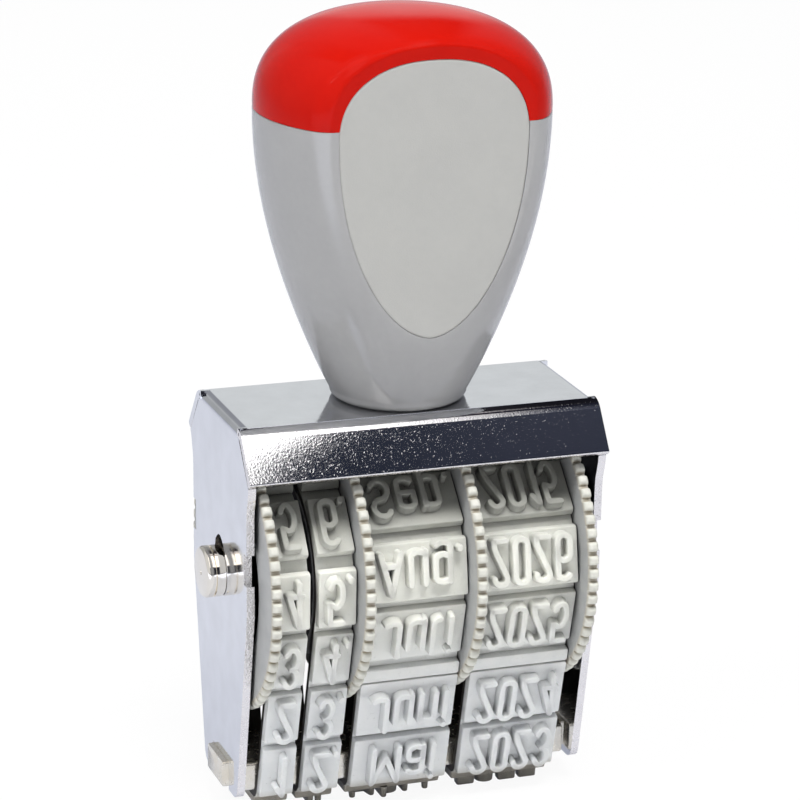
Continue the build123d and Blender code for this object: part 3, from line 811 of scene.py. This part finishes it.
def make_frame():
    rings = []
    for x, z, inward, depth in strip_stations():
        inner_x, inner_z = x + SHEET * inward[0], z + SHEET * inward[1]
        # Beside the rear flange the legs reach back a little further
        rear = depth + (REAR_REACH if FLANGE_LOW < z < FRAME_TOP - END_RADIUS + 0.01 else 0.0)
        rings.append([(x, -depth, z), (x, rear, z), (inner_x, rear, inner_z), (inner_x, -depth, inner_z)])
    piece = add_loft("bent_sheet_frame", rings, PLATE)
    flanges = [prism(f"flange_{side}", flange_profile(side), FRAME_WIDTH / 2) for side in (-1, 1)]
    cut(piece, *flanges, operation="UNION")
    slot_y = TAB_HALF_DEPTH + SLOT_CLEARANCE
    slot_top = BAR_BOTTOM + TAB_RAISE + TAB_HEIGHT + SLOT_CLEARANCE
    cutters = [axle_hole(), prism("slot", rectangle(-slot_y, 0, slot_y, slot_top))]
    for side in (-1, 1):
        low_y, high_y = sorted((side * (LEG_HALF_DEPTH - STOP_DEPTH), side * STOP_REACH))
        cutters.append(prism(f"stop_{side}", rectangle(low_y, STOP_BOTTOM, high_y, STOP_TOP)))
        for end in (-1, 1):
            cutters.append(corner_relief(side, end))
    cut(piece, *cutters)
    paint_frame(piece)
    soften_edges(piece)
    mount(piece, FIXED, "chrome", "frame")


make_frame()


# Axle with its head on the left and its cap on the right
def make_axle():
    head = AXLE_HEAD_RADIUS
    face = FRAME_WIDTH / 2 - lean_shift(AXLE_Z) + HEAD_GAP
    groove = (face + AXLE_END) / 2 + 0.05
    rod = [
        (-AXLE_END + 0.14, TIP_RADIUS),
        (-AXLE_END + 0.14, 0.18),
        (-AXLE_END, 0.3),
        (-AXLE_END, head - 0.32),
        (-AXLE_END + 0.03, head - 0.22),
        (-AXLE_END + 0.14, head - 0.1),
        (-AXLE_END + 0.22, head - 0.06),
        (-AXLE_END + 0.26, head - 0.02),
        (-AXLE_END + 0.36, head),
        (-groove - 0.1, head),
        (-groove - 0.07, head - 0.25),
        (-groove + 0.07, head - 0.25),
        (-groove + 0.1, head),
        (-face - 0.12, head),
        (-face, head - 0.08),
        (-face, AXLE_RADIUS),
        (face, AXLE_RADIUS),
        (face, SPIGOT_RADIUS),
        (face + SPIGOT_LENGTH, SPIGOT_RADIUS),
        (face + SPIGOT_LENGTH, TIP_RADIUS),
    ]
    mount(add_lathe("axle_rod", rod, PIN), FIXED, "chrome", "axle")
    cap = [
        (face + 0.02, SPIGOT_RADIUS + 0.02),
        (face + 0.02, head - 0.08),
        (face + 0.12, head),
        (AXLE_END - 0.36, head),
        (AXLE_END - 0.2, head - 0.06),
        (AXLE_END - 0.03, head - 0.22),
        (AXLE_END, head - 0.32),
        (AXLE_END, TIP_RADIUS),
    ]
    mount(add_lathe("axle_end_cap", cap, PIN), FIXED, "chrome", "axle_cap")


make_axle()


# Setting wheels with rounded teeth
def tooth_height(share):
    """Height of the rim at a place from -0.5 to 0.5 of one tooth's pitch, from 0 to 1."""
    flank = min(1.0, max(0.0, (0.37 - abs(share)) / 0.24))
    return (1 - (1 - flank) ** 2.2) ** 0.62


def rim_angle(k):
    return FULL_TURN * (k / PER_TOOTH - 0.5) / TOOTH_COUNT


def rim_ring(x, inset):
    """The toothed outline, shrunk more at the tips than between the teeth."""
    points = []
    for k in range(TOOTH_COUNT * PER_TOOTH):
        height = tooth_height((k % PER_TOOTH) / PER_TOOTH - 0.5)
        radius = RIM_RADIUS - TOOTH_DEPTH + TOOTH_DEPTH * height - inset * (0.35 + 0.65 * height)
        points.append(about_axle(x, radius, rim_angle(k)))
    return points


def make_wheel(key):
    start = BAND_LEFT[key]
    end = start + BAND_WIDTH[key]
    if key == "day_tens":
        rim_start = start - SIDE_GAP - RIM_THICKNESS
        drum_start, drum_end = rim_start, end
    else:
        rim_start = end + WASHER_GAP
        drum_start, drum_end = start, rim_start + RIM_THICKNESS
    rim_end = rim_start + RIM_THICKNESS
    edge = quarter_round(4)
    outline = [(rim_start + RIM_EDGE * depth, RIM_EDGE * inset) for inset, depth in reversed(edge)]
    outline += [(rim_end - RIM_EDGE * depth, RIM_EDGE * inset) for inset, depth in edge]
    shape = Shape()
    loops = shape.stack([rim_ring(x, inset) for x, inset in outline])
    bore = AXLE_RADIUS + BORE_GAP
    flat = RIM_RADIUS - TOOTH_DEPTH - RIM_EDGE
    sides = []
    for loop, x in ((loops[0], rim_start), (loops[-1], rim_end)):
        for radius in (flat - 0.1, flat - 0.2, bore):
            ring = shape.ring([about_axle(x, radius, rim_angle(k)) for k in range(len(loop))])
            shape.bridge(ring, loop)
            loop = ring
        sides.append(ring)
    shape.bridge(sides[1], sides[0])
    hub = bore + 0.3
    shape.lathe([(drum_start, hub), (drum_start, DRUM_RADIUS), (drum_end, DRUM_RADIUS), (drum_end, hub)])
    piece = add_piece(key + "_setting_wheel", shape, WHEEL, smooth_angle=50)
    mount(piece, key + "_wheel_body", "wheel_plastic", key + "_wheel")


for key in BAND_LEFT:
    make_wheel(key)


# Bridge bar and its tabs
def rounded_box(shape, low, high, radius):
    """A box whose long edges along X are rounded, with softened ends."""
    soft = min(0.2, radius)
    stations = [(low[0], soft), (low[0] + 0.3 * soft, 0.3 * soft), (low[0] + soft, 0.0)]
    stations += [(high[0] - soft, 0.0), (high[0] - 0.3 * soft, 0.3 * soft), (high[0], soft)]
    middle_y, middle_z = (low[1] + high[1]) / 2, (low[2] + high[2]) / 2
    half_y, half_z = (high[1] - low[1]) / 2, (high[2] - low[2]) / 2
    rings = []
    for x, inset in stations:
        outline = round_rectangle(half_y - inset, half_z - inset, radius - inset, 4)
        rings.append([(x, middle_y + y, middle_z + z) for y, z in outline])
    shape.loft(rings)


def make_bar():
    shape = Shape()
    low = (-BAR_END, -BAR_HALF_DEPTH, BAR_BOTTOM)
    rounded_box(shape, low, (BAR_END, BAR_HALF_DEPTH, BAR_BOTTOM + BAR_HEIGHT), 0.35)
    tab_low = BAR_BOTTOM + TAB_RAISE
    low = (-TAB_END, -TAB_HALF_DEPTH, tab_low)
    rounded_box(shape, low, (TAB_END, TAB_HALF_DEPTH, tab_low + TAB_HEIGHT), 0.25)
    mount(add_piece("bridge_bar_and_tabs", shape, NICKEL), FIXED, "nickel", "bridge_bar")


make_bar()


# Route of a band round its wheel and under the bar
CORNER_Y = BAR_HALF_DEPTH - BAR_CORNER
CORNER_Z = BAR_BOTTOM + BAR_CORNER
CORNER_RADIUS = BAR_CORNER + BAR_SEAT
NEUTRAL = BAND_BASE / 2
SWING = math.asin((BAND_RADIUS - CORNER_RADIUS) / math.hypot(CORNER_Y, AXLE_Z - CORNER_Z))
RUN_ANGLE = math.atan2(AXLE_Z - CORNER_Z, -CORNER_Y) - SWING
RUN_NORMAL = RUN_ANGLE - QUARTER_TURN
RUN_LENGTH = math.hypot(CORNER_Y, AXLE_Z - CORNER_Z) * math.cos(SWING)
BOTTOM_LENGTH = 2 * CORNER_Y
CORNER_LENGTH = (CORNER_RADIUS + NEUTRAL) * (RUN_NORMAL + QUARTER_TURN)
ARC_LENGTH = (BAND_RADIUS + NEUTRAL) * (math.pi - 2 * RUN_NORMAL)
LOOP_LENGTH = BOTTOM_LENGTH + 2 * CORNER_LENGTH + 2 * RUN_LENGTH + ARC_LENGTH


def band_point(distance):
    """Point on the band's neutral line and its outward normal, starting below the bar."""
    s = distance % LOOP_LENGTH
    if s > LOOP_LENGTH / 2:
        y, z, angle = band_point(LOOP_LENGTH - s)
        return -y, z, math.pi - angle
    if s < BOTTOM_LENGTH / 2:
        return -s, CORNER_Z - CORNER_RADIUS - NEUTRAL, -QUARTER_TURN
    s = s - BOTTOM_LENGTH / 2
    radius = CORNER_RADIUS + NEUTRAL
    if s < CORNER_LENGTH:
        angle = -QUARTER_TURN - s / radius
        return -CORNER_Y + radius * math.cos(angle), CORNER_Z + radius * math.sin(angle), angle
    s = s - CORNER_LENGTH
    front = math.pi - RUN_NORMAL
    if s < RUN_LENGTH:
        y = -CORNER_Y + radius * math.cos(front) - s * math.cos(RUN_ANGLE)
        return y, CORNER_Z + radius * math.sin(front) + s * math.sin(RUN_ANGLE), front
    s = s - RUN_LENGTH
    radius = BAND_RADIUS + NEUTRAL
    angle = front - s / radius
    return radius * math.cos(angle), AXLE_Z + radius * math.sin(angle), angle


# Stroke lettering: each glyph is a width and its centre lines, in units of the height
DIGIT = 0.29
LOW_TOP = 0.8
SMALL = 0.25


def legs(*points):
    """A bent line whose straight legs are strokes of their own."""
    return [[start, end] for start, end in zip(points, points[1:])]


def digit_arc(middle, half_height, start, end):
    """An arc as wide as a digit, about this level."""
    return arc_points(DIGIT / 2, middle, DIGIT / 2, half_height, start, end)


def oval(width, low, high, left=0.0):
    r = width / 2
    upper = arc_points(left + r, high - r, r, r, 0, 180)
    lower = arc_points(left + r, low + r, r, r, 180, 360)
    return upper + lower + [upper[0]]


def bowl(width, top, start, end):
    """A round stroke of this width, with its highest point at this level."""
    r = width / 2
    return arc_points(r, top - r, r, r, start, end)


GLYPHS = {
    "0": (DIGIT, [oval(DIGIT, 0, 1)]),
    "1": (0.13, legs((0.13, 0), (0.13, 1), (0, 0.8))),
    "2": (DIGIT, [bowl(DIGIT, 1, 180, -25) + [(0.06, 0.3), (0.01, 0.15), (0, 0)], [(0, 0), (DIGIT, 0)]]),
    "3": (DIGIT, [digit_arc(0.765, 0.235, 150, -90), digit_arc(0.265, 0.265, 90, -150)]),
    "4": (DIGIT, legs((DIGIT * 0.75, 0), (DIGIT * 0.75, 1), (0, 0.27), (DIGIT, 0.27))),
    "5": (DIGIT, legs((DIGIT, 1), (0.02, 1), (0, 0.55)) + [[(0, 0.55)] + digit_arc(0.31, 0.31, 120, -150)]),
    "6": (DIGIT, [oval(DIGIT, 0, 0.58), bowl(DIGIT, 1, 35, 180) + [(0, 0.3)]]),
    "7": (DIGIT, legs((0, 1), (DIGIT, 1), (DIGIT * 0.3, 0))),
    "8": (DIGIT, [oval(DIGIT, 0, 0.54), oval(DIGIT * 0.9, 0.54, 1, DIGIT * 0.05)]),
    "9": (DIGIT, [oval(DIGIT, 0.42, 1), bowl(DIGIT, DIGIT, 215, 360) + [(DIGIT, 0.7)]]),
    ".": (0.02, [[(0.01, 0), (0.01, 0.03)]]),
    "A": (0.34, legs((0, 0), (0.17, 1), (0.34, 0)) + [[(0.06, 0.3), (0.28, 0.3)]]),
    "D": (
        DIGIT,
        [
            [(0, 0), (0, 1)],
            [(0, 1)]
            + arc_points(0.12, 0.8, 0.17, 0.2, 90, 0, 5)
            + arc_points(0.12, 0.2, 0.17, 0.2, 0, -90, 5)
            + [(0, 0)],
        ],
    ),
    "F": (0.25, legs((0, 0), (0, 1), (0.25, 1)) + [[(0, 0.53), (0.2, 0.53)]]),
    "J": (0.24, [[(0.24, 1)] + bowl(0.24, 0.24, 0, -150)]),
    "M": (0.44, legs((0, 0), (0, 1), (0.22, 0.25), (0.44, 1), (0.44, 0))),
    "N": (0.31, legs((0, 0), (0, 1), (0.31, 0), (0.31, 1))),
    "O": (DIGIT, [oval(DIGIT, 0, 1)]),
    "S": (DIGIT, [digit_arc(0.76, 0.24, 30, 270) + digit_arc(0.26, 0.26, 80, -150)]),
    "a": (SMALL, [bowl(SMALL, LOW_TOP, 160, 0) + [(SMALL, 0)], oval(SMALL, 0, 0.42)]),
    "b": (SMALL, [[(0, 0), (0, 1)], oval(SMALL, 0, LOW_TOP)]),
    "e": (
        SMALL,
        [
            [(0, 0.4), (SMALL, 0.4)],
            [(SMALL, 0.4)] + bowl(SMALL, LOW_TOP, 0, 180) + bowl(SMALL, SMALL, 180, 335),
        ],
    ),
    "g": (SMALL, [oval(SMALL, 0.12, LOW_TOP), [(SMALL, LOW_TOP)] + bowl(SMALL, 0.07, 0, -150)]),
    "i": (0.02, [[(0.01, 0), (0.01, LOW_TOP - 0.06)], [(0.01, 0.99), (0.01, 1)]]),
    "k": (SMALL, [[(0, 0), (0, 1)], [(SMALL, LOW_TOP), (0, 0.32)], [(0.07, 0.45), (SMALL, 0)]]),
    "l": (0.12, [[(0, 1)] + bowl(0.24, 0.24, 180, 260)]),
    "n": (SMALL, [[(0, 0), (0, LOW_TOP)], [(0, 0.5)] + bowl(SMALL, LOW_TOP, 170, 0) + [(SMALL, 0)]]),
    "o": (SMALL, [oval(SMALL, 0, LOW_TOP)]),
    "p": (SMALL, [[(0, LOW_TOP), (0, -0.2)], oval(SMALL, 0, LOW_TOP)]),
    "r": (0.18, [[(0, 0), (0, LOW_TOP)], bowl(0.26, LOW_TOP, 150, 50)]),
    "t": (0.16, [[(0.06, 0.95), (0.06, 0.06), (0.15, 0.0)], [(0, LOW_TOP), (0.16, LOW_TOP)]]),
    "u": (SMALL, [[(0, LOW_TOP)] + bowl(SMALL, SMALL, 180, 350), [(SMALL, LOW_TOP), (SMALL, 0)]]),
    "v": (0.27, legs((0, LOW_TOP), (0.135, 0), (0.27, LOW_TOP))),
    "z": (0.22, legs((0, LOW_TOP), (0.22, LOW_TOP), (0, 0), (0.22, 0))),
}

# Section of a raised stroke, from its foot to the middle of its top: half width and height
STROKE_SECTION = [
    (0.41, -0.15),
    (0.38, 0.0),
    (0.355, 0.06),
    (0.342, 0.2),
    (0.3, 0.88),
    (0.28, 0.955),
    (0.238, 0.99),
    (0.18, 1.0),
]
# Each further stroke of a character is this much lower, so that no two tops coincide
TOP_STEP = 0.006
ROUND_END_STEPS = 6


def stroke_outline(points, half):
    """Loops round one stroke at this distance: one, or two where the stroke is closed."""
    closed = math.dist(points[0], points[-1]) < 1e-6
    line = points[:-1] if closed else points
    line = [p for k, p in enumerate(line) if k == 0 or math.dist(p, line[k - 1]) > 1e-4]
    count = len(line)

    def direction(k):
        if closed:
            a, b = line[(k - 1) % count], line[(k + 1) % count]
        else:
            a, b = line[max(k - 1, 0)], line[min(k + 1, count - 1)]
        size = math.dist(a, b)
        return ((b[0] - a[0]) / size, (b[1] - a[1]) / size)

    def shifted(k, side):
        d = direction(k)
        return (line[k][0] - side * half * d[1], line[k][1] + side * half * d[0])

    left = [shifted(k, 1) for k in range(count)]
    right = [shifted(k, -1) for k in range(count)]
    if closed:
        return [left, right]
    outline = list(left)
    for k, side in ((count - 1, 1), (0, -1)):
        along_x, along_y = direction(k)
        start = math.atan2(along_y, along_x) + side * QUARTER_TURN
        for turn in sweep(start, start - math.pi, ROUND_END_STEPS)[1:-1]:
            outline.append((line[k][0] + half * math.cos(turn), line[k][1] + half * math.sin(turn)))
        if side == 1:
            outline += right[::-1]
    return [outline]


def add_stroke(shape, points, place, raised):
    """One raised stroke with sloping sides, put on its plate by the place function."""
    levels = []
    for half, height in STROKE_SECTION:
        loops = stroke_outline(points, half)
        levels.append([shape.ring([place(x, y, height * raised) for x, y in loop]) for loop in loops])
    for low, high in zip(levels, levels[1:]):
        shape.bridge(low[0], high[0])
        if len(low) == 2:
            shape.bridge(high[1], low[1])
    foot, top = levels[0], levels[-1]
    if len(foot) == 1:
        shape.cap(top[0])
        shape.cap(foot[0], -1)
    else:
        shape.bridge(top[0], top[1])
        shape.bridge(foot[1], foot[0])


# Bands: a closed strip, its type plates and the characters
def plate_place(x, distance, height):
    """Turns local across, along and outward distances on a row into the frame."""
    y0, z0, angle = band_point(distance)
    outward = (math.cos(angle), math.sin(angle))
    along = (math.sin(angle), -math.cos(angle))
    base = NEUTRAL + height

    def place(u, v, w):
        y = y0 + v * along[0] + (base + w) * outward[0]
        z = z0 + v * along[1] + (base + w) * outward[1]
        return (x + u, y, z)

    return place


def add_slab(shape, place, half_width, half_length, top, draft=0.08, radius=0.14):
    """A type plate with sloping sides, rounded corners and a soft top edge."""
    levels = [(0.0, -0.45), (draft * 0.2, 0.0), (draft, top - radius)]
    levels += [(draft + radius * inward, top - radius * down) for inward, down in quarter_round(4)[1:]]
    rings = []
    for inset, height in levels:
        outline = round_rectangle(half_width - inset * 0.5, half_length - inset, PLATE_CORNER, 3)
        rings.append([place(u, v, height) for u, v in outline])
    shape.loft(rings)


def strip_section(width):
    """Section of the strip as across and outward distances, with its edges broken."""
    inner, outer = STRIP_INNER_BREAK, STRIP_OUTER_BREAK
    return [
        (0.0, inner),
        (inner, 0.0),
        (width - inner, 0.0),
        (width, inner),
        (width, BAND_BASE - outer),
        (width - outer, BAND_BASE),
        (outer, BAND_BASE),
        (0.0, BAND_BASE - outer),
    ]


def add_strip(shape, left, width):
    """The closed rubber strip that carries the plates."""
    loops = []
    for distance in sweep(0, LOOP_LENGTH, STRIP_STEPS)[:-1]:
        y0, z0, angle = band_point(distance)
        ring = []
        for across, out in strip_section(width):
            reach = out - NEUTRAL
            ring.append((left + across, y0 + reach * math.cos(angle), z0 + reach * math.sin(angle)))
        loops.append(shape.ring(ring))
    for k, loop in enumerate(loops):
        shape.bridge(loops[(k + 1) % STRIP_STEPS], loop)


def add_text(shape, text, key, place):
    height = LETTER_HEIGHT[key]
    stretch = LETTER_STRETCH[key]
    widths = [GLYPHS[char][0] * height * stretch for char in text]
    x = -(sum(widths) + LETTER_GAP[key] * (len(text) - 1)) / 2
    for char, width in zip(text, widths):
        for k, points in enumerate(GLYPHS[char][1]):
            line = [(x + px * height * stretch, (0.5 - py) * height) for px, py in points]
            add_stroke(shape, line, place, TYPE_HEIGHT - k * TOP_STEP)
        x = x + width + LETTER_GAP[key]


def add_splice(shape, middle, width, distance):
    """Two low pads side by side where the ends of a long band are joined."""
    for shift in (-PAD_SHIFT, PAD_SHIFT):
        place = plate_place(middle, distance + shift, NEUTRAL)
        add_slab(shape, place, width / 2, PAD_HALF_LENGTH, PAD_TOP, draft=0.04, radius=0.08)


def shade_strip(piece):
    """Gives the strip's sides and inner face the dark rubber of ink and painted shade; its faces come first
    in the mesh.
    """
    piece.data.materials.append(RUBBER_INSIDE_INK_AND_SHADE)
    sides = len(strip_section(0))
    for polygon in piece.data.polygons[: STRIP_STEPS * sides]:
        if polygon.index % sides not in STRIP_PALE_SIDES:
            polygon.material_index = 1


def make_band(key):
    left, width = BAND_LEFT[key], BAND_WIDTH[key]
    middle = left + width / 2
    splice = SPLICE_GAP if key in ("month", "year") else 0
    pitch = (LOOP_LENGTH - splice) / POSITIONS
    shape = Shape()
    add_strip(shape, left, width)
    for k, text in enumerate(ROWS[key]):
        distance = k * pitch + ROW_SHIFT + (splice if k > SPLICE_AFTER else 0)
        place = plate_place(middle, distance, NEUTRAL)
        add_slab(shape, place, width / 2, PLATE_LENGTH / 2, PLATE_HEIGHT - NEUTRAL)
        if text:
            add_text(shape, text, key, plate_place(middle, distance, PLATE_HEIGHT))
    if splice:
        add_splice(shape, middle, width, (SPLICE_AFTER + 0.5) * pitch + splice / 2)
    piece = add_piece(key + "_type_band", shape, RUBBER, smooth_angle=38)
    shade_strip(piece)
    mount(piece, FIXED, "band_rubber", key + "_band")


for key in BAND_LEFT:
    make_band(key)


# Small fixed pieces keep their construction meshes and get their finishes
for node, material in {
    "spacer_washer": WASHER,
    "friction_washer": WASHER,
    "threaded_insert": BRASS,
    "screw_washer": NICKEL,
    "handle_screw": NICKEL,
}.items():
    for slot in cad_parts[node].material_slots:
        slot.material = material


# Camera
def make_camera():
    turn, dip, roll = [math.radians(angle) for angle in (CAMERA_TURN, CAMERA_DIP, CAMERA_ROLL)]
    ahead = Vector((math.sin(turn) * math.cos(dip), math.cos(turn) * math.cos(dip), -math.sin(dip)))
    side = Vector((math.cos(turn), -math.sin(turn), 0))
    up = side.cross(ahead)
    right = side * math.cos(roll) + up * math.sin(roll)
    top = up * math.cos(roll) - side * math.sin(roll)
    data = bpy.data.cameras.new("photo_camera")
    data.lens = CAMERA_LENS
    data.sensor_width = 36
    data.clip_start = 0.01
    data.clip_end = 20
    camera = add_object("photo_camera", data)
    matrix = Matrix((right, top, -ahead)).transposed().to_4x4()
    matrix.translation = Vector(CAMERA_PLACE) * MM
    camera.matrix_world = matrix
    bpy.context.scene.camera = camera


make_camera()


# Stage: floor, world and lamps
# What mirrors see, as colours by the angle in degrees above the front horizon
SOFTBOX = (1.9, 1.84, 1.8, 1)
BELOW = [(-30, linear(200, 202, 206)), (-3, linear(196, 198, 202)), (4, linear(36, 36, 44))]
BEHIND = [(158, linear(214, 217, 218)), (180, linear(222, 225, 226))]
LIT_SIDE = [
    (40, linear(22, 25, 38)),
    (53.9, linear(44, 48, 60)),
    (54.2, SOFTBOX),
    (79, (1.7, 1.62, 1.6, 1)),
    (81, linear(40, 26, 36)),
    (90, linear(52, 40, 50)),
    (92, linear(246, 236, 236)),
    (98, linear(236, 230, 232)),
    (101, linear(48, 42, 44)),
    (150, linear(58, 58, 64)),
]
DARK_SIDE = [
    (40, linear(16, 19, 34)),
    (57, linear(68, 71, 84)),
    (80, linear(34, 36, 48)),
    (98, linear(24, 24, 30)),
    (150, linear(20, 20, 26)),
]


def make_floor():
    """Nearly white to the camera, and pale to mirrors, with a brighter front left corner."""
    finish = Finish("floor", 0.9)
    finish.set("Base Color", (0.92, 0.92, 0.93, 1))
    x, y, _ = finish.axes()
    corner = finish.product(finish.span(x, -0.05, -0.1), finish.span(y, -0.04, -0.09))
    strength = finish.span(corner, 0, 1, 1.0, 3.6)
    mirrored = finish.glow("ShaderNodeEmission", linear(191, 196, 212), strength)
    seen = finish.glow("ShaderNodeEmission", WHITE)
    rays = finish.node("ShaderNodeLightPath").outputs
    mirror_share = finish.product(rays["Is Glossy Ray"], 0.7)
    seen_share = finish.product(rays["Is Camera Ray"], 0.93)
    surface = finish.mix_shader(mirror_share, finish.shader.outputs[0], mirrored)
    surface = finish.mix_shader(seen_share, surface, seen)
    finish.feed(finish.tree.nodes["Material Output"].inputs["Surface"], surface)
    size = 4.0
    mesh = bpy.data.meshes.new("floor")
    corners = [(-size, -size, 0), (size, -size, 0), (size, size, 0), (-size, size, 0)]
    mesh.from_pydata(corners, [], [(0, 1, 2, 3)])
    mesh.materials.append(finish.material)
    floor = add_object("floor", mesh)


def make_world():
    """White to the camera, a lit studio to mirrors, and even light to the rest."""
    world = bpy.data.worlds.new("studio")
    bpy.context.scene.world = world
    world.use_nodes = True
    world.node_tree.nodes.clear()
    nodes = Nodes(world.node_tree, "Generated")
    across, back, up = nodes.axes()
    # The angle above the front horizon, over the top and down to the back
    lift = nodes.math("ARCTAN2", up, nodes.product(back, -1.0))
    # The edges of the lit band rise to the right
    slanted = nodes.math("SUBTRACT", lift, nodes.span(across, 0.276, 0.376, 0.0, math.radians(2.2)))

    def lift_span(low, high, out_low=0.0, out_high=1.0):
        return nodes.span(lift, math.radians(low), math.radians(high), out_low, out_high)

    def lift_colors(stops):
        """Colours by the slanted angle in degrees."""
        low, high = -30, 180
        share = nodes.span(slanted, math.radians(low), math.radians(high))
        stops = BELOW + stops + BEHIND
        return nodes.ramp(share, [((angle - low) / (high - low), color) for angle, color in stops])

    mirrored = nodes.mix(nodes.span(across, 0.31, 0.36), lift_colors(LIT_SIDE), lift_colors(DARK_SIDE))
    leaning = nodes.math("SUBTRACT", across, lift_span(52.6, 53.55, 0.0, 0.02))
    over_floor = nodes.span(lift, 0.0, 0.1)
    left_box = nodes.product(nodes.span(leaning, 0.2775, 0.2765), lift_span(33, 37), lift_span(90, 86))
    near_left = nodes.product(nodes.span(across, -0.42, -0.46), over_floor)
    far_right = nodes.product(nodes.span(across, 0.42, 0.5), over_floor)
    middle = nodes.product(nodes.span(across, 0.22, 0.16), nodes.span(across, -0.22, -0.16), over_floor)
    back_left = nodes.product(nodes.span(across, -0.04, -0.3), nodes.span(back, 0.4, 0.7))
    for zone, color in (
        (left_box, SOFTBOX),
        (near_left, linear(214, 215, 218)),
        (far_right, linear(150, 152, 157)),
        (middle, linear(146, 148, 154)),
        (back_left, linear(168, 170, 172)),
    ):
        mirrored = nodes.mix(zone, mirrored, color)
    even_strength = nodes.span(up, 0.55, 0.85, LOW_LIGHT, HIGH_LIGHT)
    even = nodes.glow("ShaderNodeBackground", (0.97, 0.98, 1.0, 1), even_strength)
    rays = nodes.node("ShaderNodeLightPath").outputs
    surface = nodes.mix_shader(rays["Is Glossy Ray"], even, nodes.glow("ShaderNodeBackground", mirrored))
    seen = nodes.glow("ShaderNodeBackground", WHITE)
    surface = nodes.mix_shader(rays["Is Camera Ray"], surface, seen)
    nodes.node("ShaderNodeOutputWorld", {"Surface": surface})


def add_lamp(name, place, width, height, watts, color=(1, 1, 1)):
    """A rectangular lamp that faces the middle of the object and isn't seen in mirrors."""
    data = bpy.data.lights.new(name, "AREA")
    data.shape = "RECTANGLE"
    data.size = width * MM
    data.size_y = height * MM
    data.energy = watts
    data.color = color
    lamp = add_object(name, data)
    lamp.location = Vector(place) * MM
    lamp.rotation_mode = "QUATERNION"
    lamp.rotation_quaternion = (Vector(LAMP_AIM) - Vector(place)).to_track_quat("-Z", "Y")
    lamp.visible_glossy = False


make_floor()
make_world()
add_lamp("key_softbox", (40, -250, 690), 300, 160, 3.8, (1.0, 0.99, 0.97))
add_lamp("left_strip", (-380, -140, 540), 120, 300, 2.2)
add_lamp("front_fill", (-130, -470, 210), 220, 220, 0.32)
add_lamp("back_fill", (90, 430, 330), 260, 260, 0.5)
add_lamp("right_fill", (340, -200, 480), 220, 320, 0.6, (0.97, 0.98, 1.0))

scene = bpy.context.scene
scene.view_settings.view_transform = "Standard"
